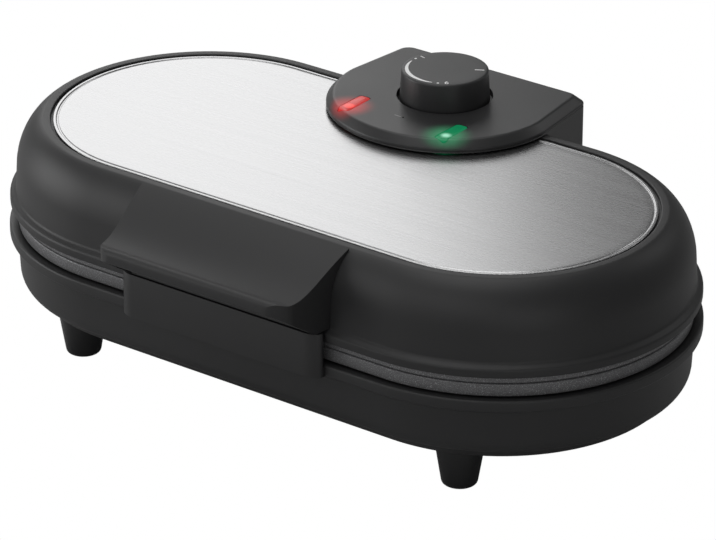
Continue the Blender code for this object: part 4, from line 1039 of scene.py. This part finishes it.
class PANCAKE_OT_screws(PieceOperator, bpy.types.Operator):
    """Cross-head screws under the base"""
    bl_idname = "pancake.screws"
    bl_label = "Screws"

    def execute(self, context):
        flat, dome_share, dome_height, head_height = 0.0008, 0.72, 0.0011, 0.0019
        shank, tip, tip_length = 0.0015, 0.0006, 0.0008
        arm, half, cross_depth = 0.0019, 0.00035, 0.0009
        plus = [(half, half), (half, arm), (-half, arm), (-half, half), (-arm, half), (-arm, -half),
                (-half, -half), (-half, -arm), (half, -arm), (half, -half), (arm, -half), (arm, half)]
        for label, prefix in (("plate_screws", "lower_plate_screw_"), ("foot_screws", "foot_screw_")):
            names = screw_names(prefix)
            boxes = [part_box(name) for name in names]
            low, high = boxes[0]
            length_z = high.z - low.z
            head = (high.x - low.x) / 2
            line = [
                (flat, 0.0, 0.0), (head * dome_share, 0.0, 0.0006), (head, dome_height, 0.0005),
                (head, head_height, 0.0), (shank, head_height, 0.0), (shank, length_z - tip_length, 0.0),
                (tip, length_z, 0.0),
            ]
            screw = turned("screw", soften(line, 4), steps=32)
            carve(screw, prisms("cross", [plus], -OVERRUN, cross_depth))
            places = [(*middle(a, b), a.z) for a, b in boxes]
            piece = copies(label, screw, places, finish("zinc"))
            hand_over(piece, "base", "zinc_plated_steel", *names)
        return {"FINISHED"}


class PANCAKE_OT_plates(PieceOperator, bpy.types.Operator):
    """Coated cooking plates with two round moulds each"""
    bl_idname = "pancake.plates"
    bl_label = "Cooking plates"

    def execute(self, context):
        p = settings().plates
        for side, up, face, edge, depth, body in (
                ("lower", 1, lower_high.z, LOWER_EDGE, p.lower_depth, "base"),
                ("upper", -1, upper_low.z, UPPER_EDGE, p.upper_depth, "lid")):
            self.plate(p, side, up, face, edge, depth, body)
        return {"FINISHED"}

    def plate(self, p, side, up, face, edge, depth, body):
        """One plate; "up" is 1 where its moulds open upwards and -1 where they open downwards."""
        back_strip, face_strip = 0.004, 0.0080
        groove_depth, groove_soft = 0.0006, 0.0004
        groove_floor = face - up * groove_depth
        groove = ((0.0035, face), (0.0045, groove_floor), (0.0060, groove_floor), (0.0070, face))
        back = face - up * edge
        line = [(plate_radius - back_strip, back, 0.0), (plate_radius, back, p.edge_soft),
                (plate_radius, face, p.edge_soft * 1.4)]
        line += [(plate_radius - inset, z, groove_soft) for inset, z in groove]
        line.append((plate_radius - face_strip, face, 0.0))
        plate = stadium_loft(side + "_plate", soften(line, 4), finish("coated_cast"))
        half_way = face - up * edge / 2
        floor = p.mould_radius - p.draft
        pan_bend, pan_rise = 0.003, 0.002
        pan = [(floor + p.pan_wall - pan_bend, face - up * (depth + p.pan_wall)),
               (floor + p.pan_wall, face - up * (depth + p.pan_wall - pan_rise)),
               (p.mould_radius + p.pan_wall, half_way)]
        carve(plate, self.pair("pans", pan, 96), "UNION")
        floor_strip, floor_soft, rim_soft, flare = 0.008, 0.0024, 0.0010, 0.0010
        line = [
            (floor - floor_strip, -depth, 0.0), (floor, -depth, floor_soft), (p.mould_radius, 0.0, rim_soft),
            (p.mould_radius + flare, flare, 0.0),
        ]
        mould = [(radius, face + up * z) for radius, z in soften(line, 6)]
        carve(plate, self.pair("moulds", mould, 128))
        post_radius = 0.0045
        post_end = lower_low.z if side == "lower" else upper_high.z
        screws = screw_names(side + "_plate_screw_")
        posts = [circle(post_radius, 32, middle(*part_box(name))) for name in screws]
        carve(plate, prisms("posts", posts, half_way, post_end), "UNION")
        hand_over(plate, body, "coated_cast_plate", side + "_cooking_plate")

    def pair(self, name, profile, steps):
        """Two round bodies with one (radius, height) profile, at the middles of the moulds."""
        bm = bmesh.new()
        for side in (-1, 1):
            stack(bm, [(circle(radius, steps, (side * half_straight, middle_y)), z) for radius, z in profile])
        return new_object(name, bm)


class PANCAKE_OT_lid(PieceOperator, bpy.types.Operator):
    """Lid housing: lip, wall, curved shoulder and rim band round the panel"""
    bl_idname = "pancake.lid"
    bl_label = "Lid housing"

    def execute(self, context):
        s = settings().shell
        low = lid_low_z()
        roof_thickness, seat_strip, seat_soft, well_depth = 0.0022, 0.003, 0.0002, 0.024
        roof = s.panel_seat - roof_thickness
        centre = s.lid_wall_radius - s.lid_lean - s.shoulder_depth
        shoulder_z = low + s.wall_height
        inner_height = s.shoulder_height - s.wall
        first = math.degrees(math.asin((roof - shoulder_z) / inner_height))
        inside = arc((centre, shoulder_z), (s.shoulder_depth - s.wall, inner_height), first, 0.0, 8)
        recess = s.rim_radius - s.rim_width
        top = lid_high.z
        line = [(x, y, 0.0) for x, y in inside] + [(s.lid_wall_radius - s.wall, low, s.soft)]
        line += lid_outside()
        line += [
            (s.rim_radius - s.soft, top, s.soft), (recess, top, s.soft * 0.8),
            (recess, s.panel_seat, seat_soft), (recess - seat_strip, s.panel_seat, 0.0),
        ]
        shell = stadium_loft("lid_shell", soften(line, 5), finish("matt_shell"))
        carve(shell, prisms("well", [well_plan()], top - well_depth, top + OVERRUN))
        hand_over(shell, "lid", "matte_black_plastic", "lid_housing")
        self.knuckles(s, low)
        return {"FINISHED"}

    def knuckles(self, s, low):
        """Knuckles of the lid between the ears of the base."""
        half_width, half_bore = 0.005, 0.01
        y = hinge_axis.y
        root = middle_y + s.lid_wall_radius - s.wall / 2
        high = low + s.lip_height
        outline = arc(pin_axis, (HINGE_RADIUS, HINGE_RADIUS), -150.0, 30.0, 20)
        outline += [(y, high), (root, high), (root, low), (y - HINGE_RADIUS, low)]
        spans = [(side * pin_x - half_width, side * pin_x + half_width) for side in (-1, 1)]
        bores = [(side * pin_x - half_bore, side * pin_x + half_bore) for side in (-1, 1)]
        hinge_part("lid_knuckles", outline, spans, bores, "lid", "lid_housing")


class PANCAKE_OT_panel(PieceOperator, bpy.types.Operator):
    """Brushed steel panel with a rolled edge"""
    bl_idname = "pancake.panel"
    bl_label = "Steel panel"

    def execute(self, context):
        p = settings().panel
        low, high = panel_low.z, panel_high.z
        strip = 0.006
        field = high - p.groove_depth
        groove_out = panel_radius - p.bead
        line = [
            (panel_radius - strip, low, 0.0), (panel_radius, low, 0.0003), (panel_radius, high, 0.0006),
            (groove_out, high, 0.0004), (groove_out - p.groove / 3, field, 0.0002),
            (groove_out - p.groove, field, 0.0002), (groove_out - p.groove * 1.4, high - p.sink, 0.0003),
            (panel_radius - strip, high - p.sink, 0.0),
        ]
        panel = stadium_loft("steel_panel", soften(line, 6), finish("brushed_panel"), steps=96)
        carve(panel, prisms("panel_notch", [well_plan()], low - OVERRUN, high + OVERRUN))
        hand_over(panel, "lid", "brushed_steel", "steel_top_panel")
        return {"FINISHED"}


class PANCAKE_OT_handle(PieceOperator, bpy.types.Operator):
    """Grip on the front of the lid with its scooped top and rounded lip"""
    bl_idname = "pancake.handle"
    bl_label = "Handle"

    def execute(self, context):
        s, h = settings().shell, settings().handle
        steps, front_turn, soft = 16, -6.0, 0.0016
        front, low, half = handle_low.y, handle_low.z, handle_high.x
        reach = middle_y - front
        top_y = middle_y - (s.rim_radius + h.rim_gap)
        top_z = handle_high.z
        lip_back = middle_y - (reach - h.lip_width)
        fall = h.lip_height - h.scoop / 2 - top_z
        scoop = []
        for i in range(1, steps + 1):
            share = i / steps
            sag = h.scoop * math.sin(math.pi * share ** 2)
            scoop.append((top_y + (lip_back - top_y) * share, top_z + fall * share - sag))
        r, u = h.lip_rounding, h.lip_under
        lip_low = h.lip_height - h.lip_thickness
        lip = arc((front + r, h.lip_height - r), (r, r), 90.0, 180.0, 8)
        lip += arc((front + u, lip_low + u), (u, u), 180.0, 270.0, 6)
        profile = [(top_y, top_z)] + scoop + lip + [(base_low.y, low), (top_y, low)]
        grip = bars("handle_grip", profile, [(-half, half)], finish("grained_grip"))
        nose = half - h.taper
        right = arc((nose - h.corner, front + h.corner), (h.corner, h.corner), -90.0, front_turn, 20)
        plan = [(-x, y) for x, y in reversed(right)] + right
        plan += [(half, top_y), (half, middle_y), (-half, middle_y), (-half, top_y)]
        carve(grip, prisms("grip_plan", [plan], low - OVERRUN, top_z + OVERRUN), "INTERSECT")
        round_edges(grip, soft, 5)
        carve(grip, lid_envelope("grip_seat"))
        self.pocket(grip, h, s, scoop, lip_low)
        hand_over(grip, "lid", "matte_black_plastic", "handle")
        return {"FINISHED"}

    def pocket(self, grip, h, s, scoop, lip_low):
        """Finger space under the grip."""
        low = handle_low.z
        back = middle_y - s.lid_wall_radius - h.back_wall
        front = handle_low.y + h.lip_width
        roof = [(y, z - h.skin) for y, z in scoop if front - GAP <= y < back]
        profile = [(back, low - OVERRUN), (back, roof[0][1])] + roof + [
            (roof[-1][0], lip_low - OVERRUN), (front, low - OVERRUN)]
        inner = handle_high.x - h.taper - h.skin * 1.5
        carve(grip, bars("finger_space", profile, [(-inner, inner)]))


class PANCAKE_OT_console(PieceOperator, bpy.types.Operator):
    """Control console with the knob recess and the lamp slots"""
    bl_idname = "pancake.console"
    bl_label = "Console"

    def execute(self, context):
        c = settings().console
        floor_strip, floor_soft, rim_soft, flare, flare_rise = 0.003, 0.0005, 0.0004, 0.0006, 0.0004
        slot_gap, slot_depth, dimple_depth = 0.00025, 0.0062, 0.0012
        top = console_high.z
        console = console_body("console_cover")
        console.data.materials.append(finish("satin_console"))
        carve(console, lid_envelope("console_seat"))
        inner = console_plan(c.wall, 48)
        carve(console, prisms("console_hollow", [inner], console_low.z - OVERRUN, top - c.roof))
        floor = top - c.recess_depth
        line = soften([
            (c.recess_radius - floor_strip, floor, 0.0), (c.recess_radius, floor, floor_soft),
            (c.recess_radius, top, rim_soft), (c.recess_radius + flare, top + flare_rise, 0.0),
            (c.recess_radius + flare, top + OVERRUN, 0.0)], 4)
        bm = bmesh.new()
        stack(bm, [(circle(radius, 96, knob_axis), z) for radius, z in line])
        for side in (-1, 1):
            outline = slot_plan(side, slot_gap)
            stack(bm, [(outline, top - slot_depth), (outline, top + OVERRUN)])
        dimple = circle(c.pointer_dimple, 24, (knob_axis.x, knob_axis.y - c.pointer_out))
        stack(bm, [(dimple, top - dimple_depth), (dimple, top + OVERRUN)])
        carve(console, new_object("console_cuts", bm))
        hand_over(console, "lid", "satin_black_plastic", "control_console")
        self.pointer_mark(top)
        return {"FINISHED"}

    def pointer_mark(self, top):
        """Short printed line that ends at a small dimple, in front of the knob."""
        c = settings().console
        sunk, proud = 0.0002, 0.00004
        y = knob_axis.y - c.pointer_out
        half = c.pointer_dimple * 0.45
        near = knob_axis.x - c.pointer_dimple * 2
        line = rectangle((near - c.pointer_length, y - half), (near, y + half))
        mark = prisms("pointer_mark", [line], top - sunk, top + proud, finish("grey_print"))
        hand_over(mark, "lid", "satin_black_plastic")


class PANCAKE_OT_lamps(PieceOperator, bpy.types.Operator):
    """Red and green lamp lenses that follow the console's bevel"""
    bl_idname = "pancake.lamps"
    bl_label = "Lamp lenses"

    def execute(self, context):
        sunk, soft = 0.00008, 0.0003
        for side, node, mat in ((-1, "red_power_lens", "red_lamp"), (1, "green_ready_lens", "green_lamp")):
            window = node.replace("_lens", "_window")
            lens = prisms(window, [slot_plan(side)], lens_low.z, console_high.z + OVERRUN, finish(mat))
            carve(lens, console_body("lens_form", -sunk), "INTERSECT")
            round_edges(lens, soft, 2)
            hand_over(lens, "lid", mat.replace("_lamp", "_lens"), node)
        return {"FINISHED"}


class PANCAKE_OT_knob(PieceOperator, bpy.types.Operator):
    """Temperature knob with its printed scale"""
    bl_idname = "pancake.knob"
    bl_label = "Knob"

    def execute(self, context):
        k = settings().knob
        bore, hub, wall, end_wall, top_strip = 0.0033, 0.0054, 0.0020, 0.0030, 0.004
        low, high = knob_low.z - k.sunk, knob_high.z - k.print_height
        skirt = (knob_high.x - knob_low.x) / 2
        roof = high - wall
        line = [
            (bore, high - end_wall, 0.0), (bore, low + k.edge, 0.0), (hub, low + k.edge, 0.0003),
            (hub, roof, 0.0005), (k.radius - wall, roof, 0.0008), (skirt - wall, low, 0.0003),
            (skirt, low, 0.0004), (k.radius, high, k.edge * 1.4), (k.radius - top_strip, high, 0.0),
        ]
        knob = turned("knob_grip", soften(line, 6), knob_axis, 128, mat=finish("satin_knob"))
        hand_over(knob, "knob", "satin_black_plastic", "temperature_knob")
        hand_over(self.marks(k, high), "knob", "satin_black_plastic")
        hand_over(self.digits(k, high), "knob", "satin_black_plastic")
        return {"FINISHED"}

    def marks(self, k, high):
        """Tapering arc, its two end dots and the off line."""
        steps, thin, swell, swell_power = 48, 0.00018, 0.00070, 0.8
        outer, inner = [], []
        for i in range(steps + 1):
            share = i / steps
            angle = math.radians(k.arc_first + (k.arc_last - k.arc_first) * share)
            half = thin + swell * math.sin(math.pi * share) ** swell_power
            outer.append(on_circle(knob_axis, k.arc_radius + half, angle))
            inner.append(on_circle(knob_axis, k.arc_radius - half, angle))
        dot_radius, before, after = 0.00055, 10.0, 9.0
        dots = [circle(dot_radius, 20, on_circle(knob_axis, k.arc_radius, math.radians(turn)))
                for turn in (k.arc_first - before, k.arc_last + after)]
        line_half, line_start, line_end = 0.00032, 0.0135, 0.0178
        angle = math.radians(k.pointer_turn)
        out = Vector((math.cos(angle), math.sin(angle)))
        side = Vector((-out.y, out.x)) * line_half
        a, b = out * line_start, out * line_end
        corners = (a - side, b - side, b + side, a + side)
        bar = [(knob_axis.x + point.x, knob_axis.y + point.y) for point in corners]
        sunk = 0.0002
        outlines = [outer + inner[::-1], *dots, bar]
        return prisms("scale_marks", outlines, high - sunk, high + k.print_height, finish("white_print"))

    def digits(self, k, high):
        """Plain numbers at the two ends of the scale."""
        apart, ring_share = 22.0, 0.96
        bm = bmesh.new()
        for text, turn in (("1", k.arc_first - apart), ("6", k.arc_last + apart)):
            curve = bpy.data.curves.new("digit", "FONT")
            curve.body = text
            curve.size = k.digit
            curve.align_x = "CENTER"
            curve.align_y = "CENTER"
            curve.extrude = k.print_height / 2
            obj = add_object("digit", curve)
            angle = math.radians(turn)
            x, y = on_circle(knob_axis, k.arc_radius * ring_share, angle)
            place = Vector((x, y, high + k.print_height / 2))
            mesh = plain_mesh(obj)
            mesh.transform(Matrix.Translation(place) @ Matrix.Rotation(angle + math.pi / 2, 4, "Z"))
            bpy.data.objects.remove(obj, do_unlink=True)
            bm.from_mesh(mesh)
        return new_object("scale_digits", bm, finish("white_print"))


class PANCAKE_OT_inner(PieceOperator, bpy.types.Operator):
    """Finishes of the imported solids, seen where no piece replaces them: pins, gland, wiring and works"""
    bl_idname = "pancake.inner"
    bl_label = "Inner parts"

    def execute(self, context):
        slots = {row["node"]: row["material_slot"] for row in frame["record"]["subparts"]}
        by_slot = {
            "matte_black_plastic": "matt_shell", "satin_black_plastic": "satin_inner",
            "coated_cast_plate": "coated_cast", "brushed_steel": "brushed_panel",
            "plated_sheet": "drawn_sheet", "zinc_plated_steel": "zinc",
            "red_lens": "red_lamp", "green_lens": "green_lamp", "lamp_glass": "lamp_glass",
            "ceramic": "fired_ceramic", "lead_sleeve": "woven_sleeve",
        }
        for name, obj in frame["nodes"].items():
            mat = finish(by_slot[slots[name]])
            obj.data.materials.clear()
            obj.data.materials.append(mat)
        return {"FINISHED"}


class PANCAKE_OT_stage(PieceOperator, bpy.types.Operator):
    """Pale floor, soft lights, world and the camera"""
    bl_idname = "pancake.stage"
    bl_label = "Stage"

    def execute(self, context):
        scene = context.scene
        scene.view_settings.view_transform = "Standard"
        self.world(scene)
        self.floor()
        self.lights()
        self.camera(scene)
        return {"FINISHED"}

    def white_to_camera(self, tree, plain):
        """Mix that the camera sees as white, while light and reflections meet the plain shader."""
        path = tree.nodes.new("ShaderNodeLightPath")
        white = tree.nodes.new("ShaderNodeEmission")
        mix = tree.nodes.new("ShaderNodeMixShader")
        tree.links.new(path.outputs["Is Camera Ray"], mix.inputs["Fac"])
        tree.links.new(plain.outputs[0], mix.inputs[1])
        tree.links.new(white.outputs[0], mix.inputs[2])
        return mix

    def world(self, scene):
        world = bpy.data.worlds.new("studio")
        scene.world = world
        world.use_nodes = True
        tree = world.node_tree
        tree.nodes.clear()
        plain = tree.nodes.new("ShaderNodeBackground")
        plain.inputs["Strength"].default_value = settings().stage.sky
        mix = self.white_to_camera(tree, plain)
        out = tree.nodes.new("ShaderNodeOutputWorld")
        tree.links.new(mix.outputs[0], out.inputs["Surface"])

    def floor(self):
        half, height = 3.0, -0.0002
        bm = bmesh.new()
        bm.faces.new([bm.verts.new((x, y, 0)) for x, y in rectangle((-half, -half), (half, half))])
        mat, tree, shader = new_material("pale_floor")[:3]
        set_inputs(shader, {"Base Color": (0.50, 0.50, 0.50, 1.0), "Roughness": 0.8})
        mix = self.white_to_camera(tree, shader)
        open_below = tree.nodes.new("ShaderNodeMixShader")
        face = tree.nodes.new("ShaderNodeNewGeometry")
        clear = tree.nodes.new("ShaderNodeBsdfTransparent")
        tree.links.new(face.outputs["Backfacing"], open_below.inputs["Fac"])
        tree.links.new(mix.outputs[0], open_below.inputs[1])
        tree.links.new(clear.outputs[0], open_below.inputs[2])
        tree.links.new(open_below.outputs[0], tree.nodes["Material Output"].inputs["Surface"])
        floor = new_object("floor", bm, mat)
        floor.location.z = height

    def lights(self):
        """Soft lights, as name, place, height of the aim above the origin, size and power."""
        for name, place, aim_z, size, power in (
                ("top_softbox", (-0.2, -0.1, 1.9), 0.05, (1.8, 1.4), 28.0),
                ("back_card", (-1.15, 0.85, 0.74), 0.08, (1.1, 0.9), 10.0),
                ("left_card", (-1.35, -0.75, 0.4), 0.05, (1.2, 0.8), 18.0),
                ("front_fill", (0.2, -1.6, 0.9), 0.05, (1.6, 0.9), 9.0),
                ("right_card", (1.3, -0.9, 0.35), 0.05, (0.7, 0.5), 3.0),
                ("edge_light", (0.60, 1.10, 0.80), 0.08, (0.4, 0.4), 1.8)):
            light = bpy.data.lights.new(name, "AREA")
            light.shape = "RECTANGLE"
            light.size, light.size_y = size
            light.energy = power * settings().stage.light
            obj = add_object(name, light)
            obj.location = place
            towards = Vector((0.0, 0.0, aim_z)) - Vector(place)
            obj.rotation_euler = towards.to_track_quat("-Z", "Y").to_euler()

    def camera(self, scene):
        st = settings().stage
        az, el, roll = (math.radians(value) for value in (st.azimuth, st.elevation, st.roll))
        back = Vector((math.sin(az) * math.cos(el), -math.cos(az) * math.cos(el), math.sin(el)))
        right = Vector((math.cos(az), math.sin(az), 0.0))
        up = back.cross(right)
        right, up = right * math.cos(roll) + up * math.sin(roll), up * math.cos(roll) - right * math.sin(roll)
        camera = bpy.data.cameras.new("camera")
        camera.lens = st.lens
        camera.sensor_width = 36.0
        obj = add_object("camera", camera)
        place = Vector((st.aim_x, middle_y + st.aim_y, st.aim_z)) + back * st.distance
        turn = Matrix((right, up, back)).transposed().to_4x4()
        obj.matrix_world = Matrix.Translation(place) @ turn
        scene.camera = obj


class PANCAKE_PT_panel(bpy.types.Panel):
    """Lists the pieces and their sizes"""
    bl_idname = "PANCAKE_PT_panel"
    bl_label = "Pancake maker"
    bl_space_type = "VIEW_3D"
    bl_region_type = "UI"
    bl_category = "Pancake maker"

    def draw(self, context):
        layout = self.layout
        for operator in piece_operators:
            layout.operator(operator.bl_idname)
        groups = settings()
        for name in groups.bl_rna.properties.keys():
            if name in ("rna_type", "name"):
                continue
            box = layout.box()
            box.label(text=name.title())
            group = getattr(groups, name)
            for key in group.bl_rna.properties.keys():
                if key not in ("rna_type", "name"):
                    box.prop(group, key)


property_groups = (
    PANCAKE_PG_shell, PANCAKE_PG_panel, PANCAKE_PG_handle, PANCAKE_PG_console, PANCAKE_PG_knob,
    PANCAKE_PG_plates, PANCAKE_PG_finish, PANCAKE_PG_stage, PANCAKE_PG_settings,
)
piece_operators = (
    PANCAKE_OT_inner, PANCAKE_OT_base, PANCAKE_OT_cover, PANCAKE_OT_feet, PANCAKE_OT_screws,
    PANCAKE_OT_plates, PANCAKE_OT_lid, PANCAKE_OT_panel, PANCAKE_OT_handle, PANCAKE_OT_console,
    PANCAKE_OT_lamps, PANCAKE_OT_knob, PANCAKE_OT_stage,
)


def register():
    for cls in property_groups + piece_operators + (PANCAKE_PT_panel,):
        bpy.utils.register_class(cls)
    bpy.types.Scene.pancake_maker = PointerProperty(type=PANCAKE_PG_settings)


def unregister():
    del bpy.types.Scene.pancake_maker
    for cls in reversed(property_groups + piece_operators + (PANCAKE_PT_panel,)):
        bpy.utils.unregister_class(cls)


def main():
    register()
    for operator in piece_operators:
        group, name = operator.bl_idname.split(".")
        getattr(getattr(bpy.ops, group), name)()


if __name__ == "__main__":
    main()
